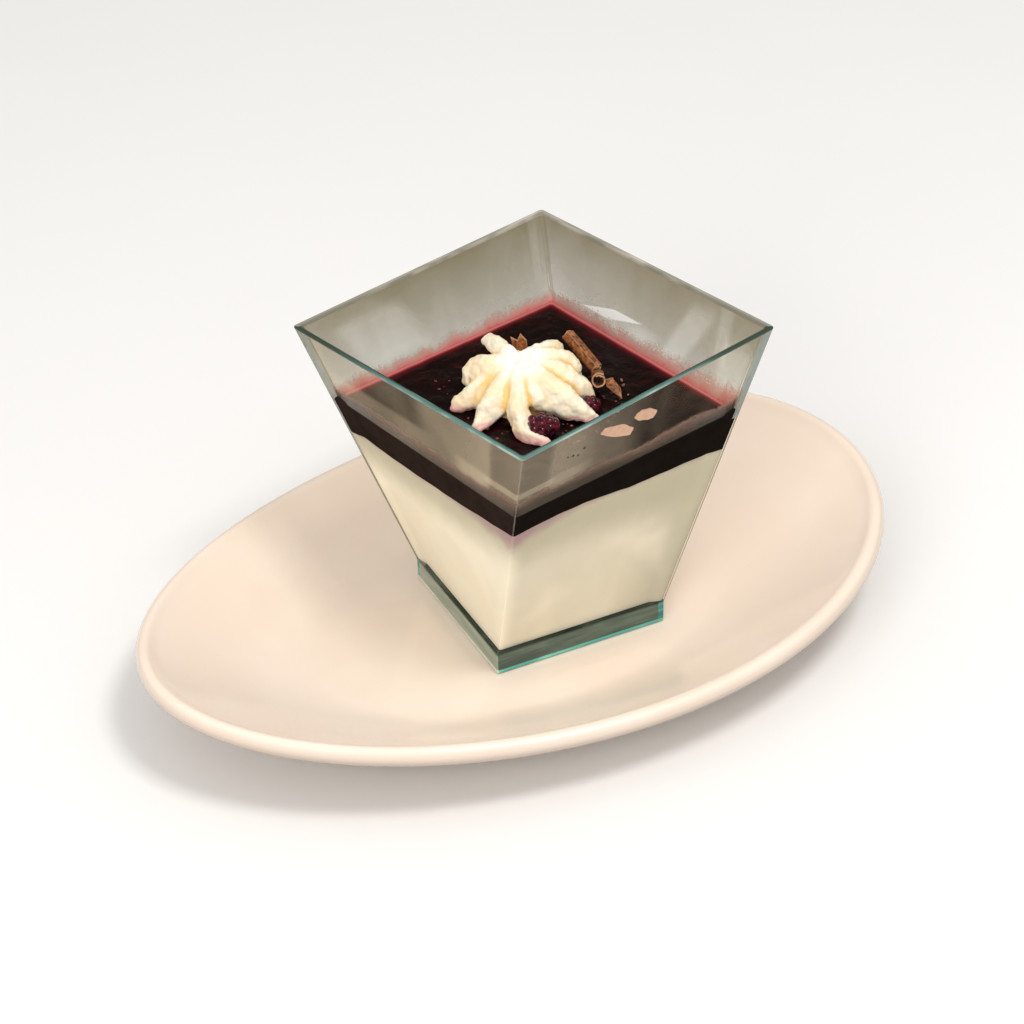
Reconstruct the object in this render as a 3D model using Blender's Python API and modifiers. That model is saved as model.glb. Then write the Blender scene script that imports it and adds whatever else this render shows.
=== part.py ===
"""Panna cotta under a dark berry layer, in a clear twisted cup on a small oval plate.

Metres, +Z up. The origin is on the table, under the middle of the plate; +X runs along
the plate's long axis, towards its broader end.
"""

import math

import bmesh
import bpy
from mathutils import Matrix, Vector

MM = 0.001
GAP = 0.3 * MM                      # air between pieces that touch

# Plate: an egg-shaped coupe plate whose rim climbs a little at both ends
PLATE_HALF_WIDTH = 62.6 * MM
PLATE_HALF_LENGTH = 92.5 * MM
PLATE_EGG = 0.105                   # how much wider the +X end is than the middle
PLATE_LIP_R = 2.3 * MM              # the lip is round, this radius
PLATE_LIP_Z = 15.0 * MM             # middle of the lip at the two long sides
PLATE_END_RISE = 5.1 * MM           # the lip is higher by this at the ends
PLATE_WELL_Z = 5.7 * MM             # the flat floor that the cup stands on
PLATE_WELL_R = 34.0 * MM            # its reach towards the long sides
PLATE_BASE_THICK = 3.9 * MM
PLATE_RING_R = 31.5 * MM            # foot ring, middle of its width
PLATE_RING_WIDTH = 3.2 * MM
PLATE_RING_EDGE = 0.5 * MM          # bevel of the ring's two edges
PLATE_RING_FLARE = 0.9 * MM         # the ring widens by this where it joins the plate
PLATE_THICKER = 0.3                 # how much thicker the wall is at the ring than at the lip
PLATE_CURVE = 1.55                  # how late the floor turns up: 1 is a straight slope
PLATE_LIP_SLOPE = math.radians(36)  # slope of the floor where it meets the lip
PLATE_SIDES = 60

# Cup: square sections that turn and shrink from the rim down to a short plinth
RIM_SIDE = 75.0 * MM
FOOT_SIDE = 42.8 * MM
CUP_HEIGHT = 73.8 * MM
FOOT_HEIGHT = 5.2 * MM
CUP_TWIST = math.radians(-15.9)     # the foot against the rim
CUP_WALL = 1.3 * MM
CUP_CORNER = 0.025                   # corner rounding, as a share of half a side
CUP_TURN = math.radians(10.7)       # the rim against the plate's long axis
CUP_X = 6.4 * MM
CUP_Z = PLATE_WELL_Z + GAP
FLOOR_Z = FOOT_HEIGHT + 0.5 * MM    # inside floor of the cup, above its underside
RECESS_DEPTH = 3.6 * MM             # hollow under the plinth
LEVELS = 10                         # bands up a wall
COLUMNS = 4                         # strips across a wall

# Fillings, heights above the cup's underside
PANNA_TOP = 44.8 * MM
BERRY_TOP = 53.6 * MM

# Cream rosette: its middle from the cup's axis, and its lobes
CREAM_X = -1.1 * MM
CREAM_Y = 3.4 * MM
CREAM_CROWN = 10.5 * MM
CREAM_MOUND = (10.4 * MM, 10.4 * MM, 8.6 * MM)
CREAM_GRAIN = 1.35 * MM             # grain of the piped surface
# each lobe: direction in degrees, reach, height of its tip, thickness at mid-length,
# and how far its tip swings round, in degrees
LOBES = [
    (84, 16.8, 5.0, 2.7, 0),
    (118, 13.6, 4.2, 3.5, 0),
    (147, 12.0, 2.6, 3.1, 0),
    (172, 17.2, 1.4, 2.6, 4),
    (203, 17.6, 1.4, 2.7, -4),
    (219, 20.4, 1.2, 2.6, 37),
    (262, 12.0, 3.4, 3.3, 0),
    (293, 19.8, 1.4, 3.1, 3),
    (317, 16.0, 1.8, 3.0, 0),
    (343, 14.6, 4.0, 3.5, 0),
    (10, 14.8, 4.2, 3.5, 0),
    (34, 14.4, 6.0, 3.3, 0),
    (60, 10.4, 3.4, 2.6, 0),
]

# how thick a lobe is along its length, as shares of its reach and of its thickness
LOBE_WIDTHS = [(0.06, 0.9), (0.3, 1.05), (0.55, 1.0), (0.8, 0.85), (0.94, 0.55), (1.0, 0.25)]
LOBE_FALL = 1.9                     # how late a lobe bends down from the crown
LOBE_SWING_FROM = 0.45              # a swinging tip starts to turn at this share of its reach

# Toppings round the rosette: places are measured from its middle on the berry layer
CURL_THICK = 0.35 * MM
CURL_LOOSENESS = 0.12 * MM          # air between the turns of a curl
ROLL_LENGTH = 10.4 * MM
ROLL_R = 1.25 * MM
ROLL_TURNS = 1.7
ROLL_AT = (17.0 * MM, 1.5 * MM, 5.3 * MM)
ROLL_AXIS = (0.13, -0.89, -0.43)
RING_LENGTH = 4.0 * MM
RING_R = 1.65 * MM
RING_TURNS = 1.2
RING_AT = (15.7 * MM, -7.2 * MM, 2.9 * MM)
RING_AXIS = (-0.46, -0.80, 0.39)
FLAKE_THICK = 0.6 * MM
SHARD_OUTLINE = [(-3.0, -0.5), (-1.4, -1.2), (3.2, -0.5), (1.0, 0.9), (-2.2, 1.1)]
SHARD_AT = (17.9 * MM, -10.6 * MM, 1.9 * MM)
SHARD_ALONG = (0.15, -0.90, -0.38)
SHARD_NORMAL = (-0.30, -0.40, 0.87)
SPLINTER_OUTLINE = [(-3.2, -1.5), (1.2, -1.8), (3.2, -0.7), (1.6, 0.2), (2.8, 1.6), (-3.2, 1.4)]
SPLINTER_AT = (5.0 * MM, 8.6 * MM, 7.4 * MM)
SPLINTER_ALONG = (-0.10, 0.12, 0.98)
SPLINTER_NORMAL = (-0.42, -0.85, 0.20)
SPLINTER_ROOM = (7.2 * MM, 4.2 * MM, FLAKE_THICK + 2 * GAP)
# name, length, radius, middle and long axis
DARK_BERRIES = [
    ("dark_berry", 8.2 * MM, 3.0 * MM, (-4.2 * MM, -14.9 * MM, 2.4 * MM), (0.86, -0.51, 0.10)),
    ("dark_berry_small", 5.5 * MM, 2.3 * MM, (9.4 * MM, -12.9 * MM, 1.8 * MM), (0.86, -0.45, 0.20)),
]

BERRY_CORE = 0.8                    # core of a berry, as a share of its radius
BERRY_BEAD = 0.42                   # radius of a drupelet, as a share of the berry's
BERRY_RINGS = 4
BERRY_AROUND = 7                    # drupelets round the widest ring
BERRY_GRAIN = 0.26

SURFACE_Z = CUP_Z + BERRY_TOP       # top of the berry layer in the part's frame


def clear_scene():
    for thing in list(bpy.data.objects):
        bpy.data.objects.remove(thing, do_unlink=True)


def make_collection(name):
    group = bpy.data.collections.new(name)
    bpy.context.scene.collection.children.link(group)
    return group


def plain_material(name, colour, roughness, alpha=1.0):
    made = bpy.data.materials.new(name)
    made.use_nodes = True
    shader = made.node_tree.nodes["Principled BSDF"]
    shader.inputs["Base Color"].default_value = (*colour, 1.0)
    shader.inputs["Roughness"].default_value = roughness
    shader.inputs["Metallic"].default_value = 0.0
    shader.inputs["Alpha"].default_value = alpha
    return made


def object_from(mesh, name, group, finish=None):
    made = bpy.data.objects.new(name, mesh)
    group.objects.link(made)
    if finish:
        mesh.materials.append(finish)
    return made


def object_from_bmesh(bm, name, group, finish=None):
    bmesh.ops.recalc_face_normals(bm, faces=bm.faces)
    mesh = bpy.data.meshes.new(name)
    bm.to_mesh(mesh)
    bm.free()
    return object_from(mesh, name, group, finish)


def as_cutter(thing):
    thing.hide_render = True
    thing.display_type = 'WIRE'
    return thing


def cut(thing, cutter):
    step = thing.modifiers.new("cut", 'BOOLEAN')
    step.operation = 'DIFFERENCE'
    step.solver = 'EXACT'
    step.object = cutter


def apply_modifiers(thing):
    """Bake the modifiers into the object's own mesh."""
    graph = bpy.context.evaluated_depsgraph_get()
    graph.update()
    mesh = bpy.data.meshes.new_from_object(thing.evaluated_get(graph))
    thing.modifiers.clear()
    old = thing.data
    thing.data = mesh
    bpy.data.meshes.remove(old)


# ---------------------------------------------------------------- plate

def rise_share(r):
    """Share of the climb from the flat well to the lip, at radius r of the round master."""
    inner = PLATE_HALF_WIDTH - PLATE_LIP_R
    share = (r - PLATE_WELL_R) / (inner - PLATE_WELL_R)
    return max(share, 0.0) ** PLATE_CURVE


def floor_height(r):
    """Height of the plate's upper surface at radius r of the round master."""
    climb = PLATE_LIP_Z + PLATE_LIP_R * math.cos(PLATE_LIP_SLOPE) - PLATE_WELL_Z
    start = PLATE_HALF_WIDTH - PLATE_LIP_R * (1.0 + math.sin(PLATE_LIP_SLOPE))
    return PLATE_WELL_Z + climb * rise_share(r) / rise_share(start)


def plate_profile():
    """Closed section of the round master: top, lip, underside and foot ring."""
    lip_r = PLATE_HALF_WIDTH - PLATE_LIP_R
    points = [(0.0, PLATE_WELL_Z), (0.5 * PLATE_WELL_R, PLATE_WELL_Z)]
    start = lip_r - PLATE_LIP_R * math.sin(PLATE_LIP_SLOPE)
    for k in range(8):
        r = PLATE_WELL_R + (start - PLATE_WELL_R) * k / 7
        points.append((r, floor_height(r)))
    for k in range(1, 8):
        turn = math.pi / 2 + PLATE_LIP_SLOPE - (math.pi + PLATE_LIP_SLOPE) * k / 8
        points.append((lip_r + PLATE_LIP_R * math.cos(turn), PLATE_LIP_Z + PLATE_LIP_R * math.sin(turn)))
    ring_out = PLATE_RING_R + PLATE_RING_WIDTH / 2
    ring_in = PLATE_RING_R - PLATE_RING_WIDTH / 2
    under = PLATE_WELL_Z - PLATE_BASE_THICK
    outer = lip_r - 0.8 * PLATE_LIP_R
    inner = ring_out + 2 * PLATE_RING_FLARE
    for k in range(5):
        r = outer + (inner - outer) * k / 5
        thick = PLATE_BASE_THICK * (1.0 + PLATE_THICKER * k / 5)
        points.append((r, floor_height(r) - thick))
    points += [
        (ring_out + PLATE_RING_FLARE, under),
        (ring_out, PLATE_RING_EDGE),
        (ring_out - PLATE_RING_EDGE, 0.0),
        (ring_in + PLATE_RING_EDGE, 0.0),
        (ring_in, PLATE_RING_EDGE),
        (ring_in - PLATE_RING_FLARE, under),
        (0.0, under),
    ]
    return points


def to_plate_plan(point):
    """Move a point of the round master to the egg-shaped plan with raised ends."""
    r = math.hypot(point.x, point.y)
    if r == 0.0:
        return point.copy()
    cos_t, sin_t = point.x / r, point.y / r
    bend_r = PLATE_HALF_WIDTH - 2 * PLATE_LIP_R
    stretch = (PLATE_HALF_LENGTH - 2 * PLATE_LIP_R) / bend_r
    along = min(r, bend_r) * stretch + max(r - bend_r, 0.0)
    share = min(rise_share(r), 1.0)
    egg = 1.0 + PLATE_EGG * cos_t * r / PLATE_HALF_WIDTH
    return Vector((along * cos_t, r * sin_t * egg, point.z + PLATE_END_RISE * share * cos_t ** 2))


def make_plate(group, finish):
    bm = bmesh.new()
    corners = [bm.verts.new((r, 0.0, z)) for r, z in plate_profile()]
    for a, b in zip(corners, corners[1:]):
        bm.edges.new((a, b))
    mesh = bpy.data.meshes.new("plate")
    bm.to_mesh(mesh)
    bm.free()
    plate = object_from(mesh, "plate", group, finish)
    turn = plate.modifiers.new("turn", 'SCREW')
    turn.steps = turn.render_steps = PLATE_SIDES
    turn.use_merge_vertices = True
    turn.merge_threshold = 0.00001
    apply_modifiers(plate)
    for vertex in plate.data.vertices:
        vertex.co = to_plate_plan(vertex.co)
    plate.data.shade_smooth()
    plate.data.set_sharp_from_angle(angle=math.radians(50))
    return plate


# ---------------------------------------------------------------- cup and fillings

def section_at(z):
    """Half side and turn of the cup's square section, z above the cup's underside."""
    share = min((CUP_HEIGHT - z) / (CUP_HEIGHT - FOOT_HEIGHT), 1.0)
    rim = RIM_SIDE / 2
    foot = Vector((FOOT_SIDE / 2, 0.0, 0.0))
    foot.rotate(Matrix.Rotation(CUP_TWIST, 3, 'Z'))
    middle = Vector((rim, 0.0, 0.0)).lerp(foot, share)
    return middle.length, math.atan2(middle.y, middle.x)


def twisted_block(name, low, high, inset, group, finish=None):
    """Solid between two heights that follows the cup's turning square section.

    Every section is a square whose corners lie on straight lines from the rim's corners
    to the plinth's. The walls are inset by a constant distance.
    """
    bm = bmesh.new()
    bmesh.ops.create_cube(bm, size=2.0)
    upright = [e for e in bm.edges if abs(e.verts[0].co.z - e.verts[1].co.z) > 1.0]
    bmesh.ops.bevel(bm, geom=upright, offset=CUP_CORNER, segments=2, profile=0.5, affect='EDGES')
    for axis in range(2):
        for k in range(1, COLUMNS):
            normal, place = Vector((0, 0, 0)), Vector((0, 0, 0))
            normal[axis] = 1.0
            place[axis] = 2.0 * k / COLUMNS - 1.0
            bmesh.ops.bisect_plane(bm, geom=bm.verts[:] + bm.edges[:] + bm.faces[:], dist=1e-6,
                                   plane_co=place, plane_no=normal)
    band = (CUP_HEIGHT - FOOT_HEIGHT) / LEVELS
    cuts = [FOOT_HEIGHT + band * k for k in range(LEVELS)]
    for z in cuts:
        if low + 0.5 * MM < z < high - 0.5 * MM:
            place = Vector((0, 0, 2.0 * (z - low) / (high - low) - 1.0))
            bmesh.ops.bisect_plane(bm, geom=bm.verts[:] + bm.edges[:] + bm.faces[:], dist=1e-6,
                                   plane_co=place, plane_no=Vector((0, 0, 1)))
    for vertex in bm.verts:
        z = low + (high - low) * (vertex.co.z + 1.0) / 2.0
        half, turn = section_at(z)
        flat = Vector((vertex.co.x, vertex.co.y, 0.0)) * (half - inset)
        flat.rotate(Matrix.Rotation(turn, 3, 'Z'))
        vertex.co = Vector((flat.x, flat.y, z))
    made = object_from_bmesh(bm, name, group, finish)
    made.location = (CUP_X, 0.0, CUP_Z)
    made.rotation_euler = (0.0, 0.0, CUP_TURN)
    return made


def make_cup(group, cutters, finish):
    cup = twisted_block("cup", 0.0, CUP_HEIGHT, 0.0, group, finish)
    inside = twisted_block("cup_inside", FLOOR_Z, CUP_HEIGHT + 4 * MM, CUP_WALL, cutters)
    recess = twisted_block("cup_recess", -4 * MM, RECESS_DEPTH, CUP_WALL, cutters)
    for cutter in (inside, recess):
        cut(cup, as_cutter(cutter))
    return cup


def make_layers(group, panna_finish, berry_finish):
    inset = CUP_WALL + GAP
    twisted_block("panna_cotta_layer", FLOOR_Z + GAP, PANNA_TOP, inset, group, panna_finish)
    twisted_block("berry_layer", PANNA_TOP + GAP, BERRY_TOP, inset, group, berry_finish)


# ---------------------------------------------------------------- cream

def cream_frame():
    """World place of the rosette's middle on the berry layer."""
    return Vector((CUP_X + CREAM_X, CREAM_Y, SURFACE_Z + GAP))


def tapered_sweep(points, radii):
    """Round sweep along a smooth path, one radius for each point, as a closed mesh."""
    data = bpy.data.curves.new("sweep", 'CURVE')
    data.dimensions = '3D'
    data.bevel_depth = 1.0
    data.bevel_resolution = 2
    data.use_fill_caps = True
    data.resolution_u = 4
    line = data.splines.new('NURBS')
    line.points.add(len(points) - 1)
    for spot, place, radius in zip(line.points, points, radii):
        spot.co = (*place, 1.0)
        spot.radius = radius
    line.use_endpoint_u = True
    line.order_u = 3
    holder = bpy.data.objects.new("sweep", data)
    bpy.context.scene.collection.objects.link(holder)
    graph = bpy.context.evaluated_depsgraph_get()
    graph.update()
    mesh = bpy.data.meshes.new_from_object(holder.evaluated_get(graph))
    bpy.data.objects.remove(holder)
    bpy.data.curves.remove(data)
    return mesh


def lobe_path(direction, reach, tip_z, thick, swing):
    """Path and radii of one piped lobe, from the crown out and down to its tip."""
    path, radii = [], []
    top = CREAM_CROWN - 0.75 * thick
    for share, width in LOBE_WIDTHS:
        turned = max(share - LOBE_SWING_FROM, 0.0) / (1.0 - LOBE_SWING_FROM)
        angle = math.radians(direction + swing * turned ** 3)
        height = tip_z + (top - tip_z) * (1.0 - share ** LOBE_FALL)
        out = reach * share
        path.append(Vector((out * math.cos(angle), out * math.sin(angle), height)))
        radii.append(thick * width)
    return path, radii


def make_cream(group, finish, clearances):
    """Mound and piped lobes fused into one body, cut clear of what lies against it."""
    bm = bmesh.new()
    bmesh.ops.create_uvsphere(bm, u_segments=24, v_segments=12, radius=1.0,
                              matrix=Matrix.Diagonal((*CREAM_MOUND, 1.0)))
    for direction, reach, tip_z, thick, swing in LOBES:
        path, radii = lobe_path(direction, reach * MM, tip_z * MM, thick * MM, swing)
        mesh = tapered_sweep(path, radii)
        part = bmesh.new()
        part.from_mesh(mesh)
        bmesh.ops.remove_doubles(part, verts=part.verts, dist=0.00001)
        part.to_mesh(mesh)
        part.free()
        bm.from_mesh(mesh)
        bpy.data.meshes.remove(mesh)
    cream = object_from_bmesh(bm, "cream_rosette", group, finish)
    cream.location = cream_frame()
    fuse = cream.modifiers.new("fuse", 'REMESH')
    fuse.mode = 'VOXEL'
    fuse.voxel_size = CREAM_GRAIN
    soften = cream.modifiers.new("soften", 'SMOOTH')
    soften.factor = 0.5
    soften.iterations = 2
    apply_modifiers(cream)
    for clearance in clearances:
        cut(cream, clearance)
    cream.data.shade_smooth()
    return cream


# ---------------------------------------------------------------- chocolate

def scroll_mesh(length, radius, turns, thick):
    """Rolled flake: a spiral strip along Z, open at both ends."""
    steps = round(turns * 12)
    bm = bmesh.new()
    rows = []
    for z in (-length / 2, length / 2):
        row = []
        for k in range(steps + 1):
            angle = 2 * math.pi * turns * k / steps
            r = radius - thick / 2 - (thick + CURL_LOOSENESS) * angle / (2 * math.pi)
            row.append(bm.verts.new((r * math.cos(angle), r * math.sin(angle), z)))
        rows.append(row)
    for k in range(steps):
        bm.faces.new((rows[0][k], rows[0][k + 1], rows[1][k + 1], rows[1][k]))
    return bm


def make_scroll(name, length, radius, turns, middle, axis, group, finish):
    scroll = object_from_bmesh(scroll_mesh(length, radius, turns, CURL_THICK), name, group, finish)
    thicken = scroll.modifiers.new("thicken", 'SOLIDIFY')
    thicken.thickness = CURL_THICK
    thicken.offset = 0.0
    place_along(scroll, middle, axis)
    return scroll


def place_along(thing, middle, axis):
    """Stand an object's own Z along an axis, at a place measured from the rosette."""
    thing.rotation_mode = 'QUATERNION'
    thing.rotation_quaternion = Vector((0, 0, 1)).rotation_difference(Vector(axis).normalized())
    thing.location = cream_frame() + Vector(middle)


def lay_flat(thing, middle, along, normal):
    """Point an object's own X along a direction and its Z near a normal."""
    x_axis = Vector(along).normalized()
    y_axis = Vector(normal).cross(x_axis).normalized()
    z_axis = x_axis.cross(y_axis)
    turn = Matrix((x_axis, y_axis, z_axis)).transposed()
    thing.rotation_mode = 'QUATERNION'
    thing.rotation_quaternion = turn.to_quaternion()
    thing.location = cream_frame() + Vector(middle)


def make_flake(name, corners, middle, along, normal, group, finish):
    """Broken flake: a flat outline with a thickness."""
    bm = bmesh.new()
    bm.faces.new([bm.verts.new((x * MM, y * MM, 0.0)) for x, y in corners])
    flake = object_from_bmesh(bm, name, group, finish)
    thicken = flake.modifiers.new("thicken", 'SOLIDIFY')
    thicken.thickness = FLAKE_THICK
    thicken.offset = 0.0
    lay_flat(flake, middle, along, normal)
    return flake


def clearance_box(name, size, middle, along, normal, cutters):
    """Room that the cream leaves round a broken flake."""
    bm = bmesh.new()
    bmesh.ops.create_cube(bm, size=1.0, matrix=Matrix.Diagonal((*size, 1.0)))
    box = as_cutter(object_from_bmesh(bm, name, cutters))
    lay_flat(box, middle, along, normal)
    return box


def clearance_rod(name, length, radius, middle, axis, cutters):
    """Room that the cream leaves round a rolled flake."""
    bm = bmesh.new()
    bmesh.ops.create_cone(bm, cap_ends=True, segments=16, radius1=radius + GAP, radius2=radius + GAP,
                          depth=length + 2 * GAP)
    rod = as_cutter(object_from_bmesh(bm, name, cutters))
    place_along(rod, middle, axis)
    return rod


# ---------------------------------------------------------------- dark berries

def make_dark_berry(name, length, radius, middle, axis, group, finish):
    """Berry of round drupelets set in rings over an egg-shaped core."""
    bm = bmesh.new()
    core = Matrix.Diagonal((radius * BERRY_CORE, radius * BERRY_CORE, length / 2 * BERRY_CORE, 1.0))
    bmesh.ops.create_uvsphere(bm, u_segments=12, v_segments=8, radius=1.0, matrix=core)
    bead = radius * BERRY_BEAD
    for ring in range(BERRY_RINGS):
        tilt = math.pi * (ring + 0.5) / BERRY_RINGS
        around = max(3, round(BERRY_AROUND * math.sin(tilt)))
        for k in range(around):
            turn = 2 * math.pi * (k + 0.5 * (ring % 2)) / around
            spot = Vector((math.cos(turn) * math.sin(tilt) * (radius - bead),
                           math.sin(turn) * math.sin(tilt) * (radius - bead),
                           math.cos(tilt) * (length / 2 - bead)))
            bmesh.ops.create_uvsphere(bm, u_segments=10, v_segments=6, radius=bead,
                                      matrix=Matrix.Translation(spot))
    berry = object_from_bmesh(bm, name, group, finish)
    fuse = berry.modifiers.new("fuse", 'REMESH')
    fuse.mode = 'VOXEL'
    fuse.voxel_size = radius * BERRY_GRAIN
    berry.data.shade_smooth()
    place_along(berry, middle, axis)
    return berry


def clearance_egg(name, length, radius, middle, axis, cutters):
    """Room that the cream leaves round a berry."""
    bm = bmesh.new()
    shape = Matrix.Diagonal((radius + GAP, radius + GAP, length / 2 + GAP, 1.0))
    bmesh.ops.create_uvsphere(bm, u_segments=20, v_segments=12, radius=1.0, matrix=shape)
    egg = as_cutter(object_from_bmesh(bm, name, cutters))
    place_along(egg, middle, axis)
    return egg


def level_floor(name, cutters):
    """Everything under the berry layer's surface, which pieces lying on it lose."""
    bm = bmesh.new()
    bmesh.ops.create_cube(bm, size=60 * MM, matrix=Matrix.Translation((0, 0, -30 * MM)))
    block = as_cutter(object_from_bmesh(bm, name, cutters))
    block.location = cream_frame()
    return block


def main():
    clear_scene()
    group = make_collection("panna_cotta_in_cup")
    cutters = make_collection("cutters")

    porcelain = plain_material("porcelain", (0.86, 0.80, 0.71), 0.18)
    clear_plastic = plain_material("clear_plastic", (0.80, 0.93, 0.90), 0.05, alpha=0.35)
    panna = plain_material("panna", (0.86, 0.80, 0.66), 0.35)
    berry_jelly = plain_material("berry_jelly", (0.03, 0.006, 0.016), 0.15)
    cream_white = plain_material("cream", (0.95, 0.88, 0.70), 0.40)
    chocolate = plain_material("chocolate", (0.24, 0.09, 0.05), 0.45)
    berry_skin = plain_material("berry_skin", (0.12, 0.01, 0.03), 0.25)

    make_plate(group, porcelain)
    make_cup(group, cutters, clear_plastic)
    make_layers(group, panna, berry_jelly)

    make_scroll("chocolate_roll", ROLL_LENGTH, ROLL_R, ROLL_TURNS, ROLL_AT, ROLL_AXIS, group, chocolate)
    make_scroll("chocolate_ring", RING_LENGTH, RING_R, RING_TURNS, RING_AT, RING_AXIS, group, chocolate)
    make_flake("chocolate_shard", SHARD_OUTLINE, SHARD_AT, SHARD_ALONG, SHARD_NORMAL, group, chocolate)
    make_flake("chocolate_splinter", SPLINTER_OUTLINE, SPLINTER_AT, SPLINTER_ALONG, SPLINTER_NORMAL,
               group, chocolate)
    surface = level_floor("under_surface", cutters)
    for name, length, radius, middle, axis in DARK_BERRIES:
        berry = make_dark_berry(name, length, radius, middle, axis, group, berry_skin)
        cut(berry, surface)

    clearances = [
        surface,
        clearance_rod("roll_room", ROLL_LENGTH, ROLL_R, ROLL_AT, ROLL_AXIS, cutters),
        clearance_rod("ring_room", RING_LENGTH, RING_R, RING_AT, RING_AXIS, cutters),
        clearance_box("splinter_room", SPLINTER_ROOM, SPLINTER_AT, SPLINTER_ALONG, SPLINTER_NORMAL,
                      cutters),
    ]
    for name, length, radius, middle, axis in DARK_BERRIES:
        clearances.append(clearance_egg(name + "_room", length, radius, middle, axis, cutters))
    make_cream(group, cream_white, clearances)


main()
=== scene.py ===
"""Panna cotta under dark berry jelly in a clear twisted cup, on a small oval plate.

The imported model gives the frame. Each sub-assembly here builds the fine shape of its
pieces in metres, in that frame, and dresses them in its own finishes.
"""

import logging
import math
import random
from dataclasses import dataclass, field
from enum import Enum
from typing import Optional, Sequence

import bmesh
import bpy
import numpy as np
from mathutils import Matrix, Vector, noise


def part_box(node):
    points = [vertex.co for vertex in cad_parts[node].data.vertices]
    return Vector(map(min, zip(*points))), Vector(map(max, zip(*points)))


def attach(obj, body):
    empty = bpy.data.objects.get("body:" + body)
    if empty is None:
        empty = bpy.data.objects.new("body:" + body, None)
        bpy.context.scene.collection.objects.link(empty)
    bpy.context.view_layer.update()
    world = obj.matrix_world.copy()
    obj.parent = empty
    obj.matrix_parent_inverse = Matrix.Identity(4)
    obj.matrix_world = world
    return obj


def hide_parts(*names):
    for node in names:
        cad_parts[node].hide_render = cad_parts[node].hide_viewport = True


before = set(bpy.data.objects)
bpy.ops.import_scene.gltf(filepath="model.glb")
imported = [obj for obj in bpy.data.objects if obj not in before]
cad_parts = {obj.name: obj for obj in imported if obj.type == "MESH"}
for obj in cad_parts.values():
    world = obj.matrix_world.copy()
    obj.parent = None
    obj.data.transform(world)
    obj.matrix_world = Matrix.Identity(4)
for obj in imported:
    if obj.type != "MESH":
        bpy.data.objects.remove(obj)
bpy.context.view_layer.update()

log = logging.getLogger("panna_cotta")

MM = 0.001
Colour = tuple[float, float, float]
Socket = bpy.types.NodeSocket


# ------------------------------------------------------------------ node trees

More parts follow.
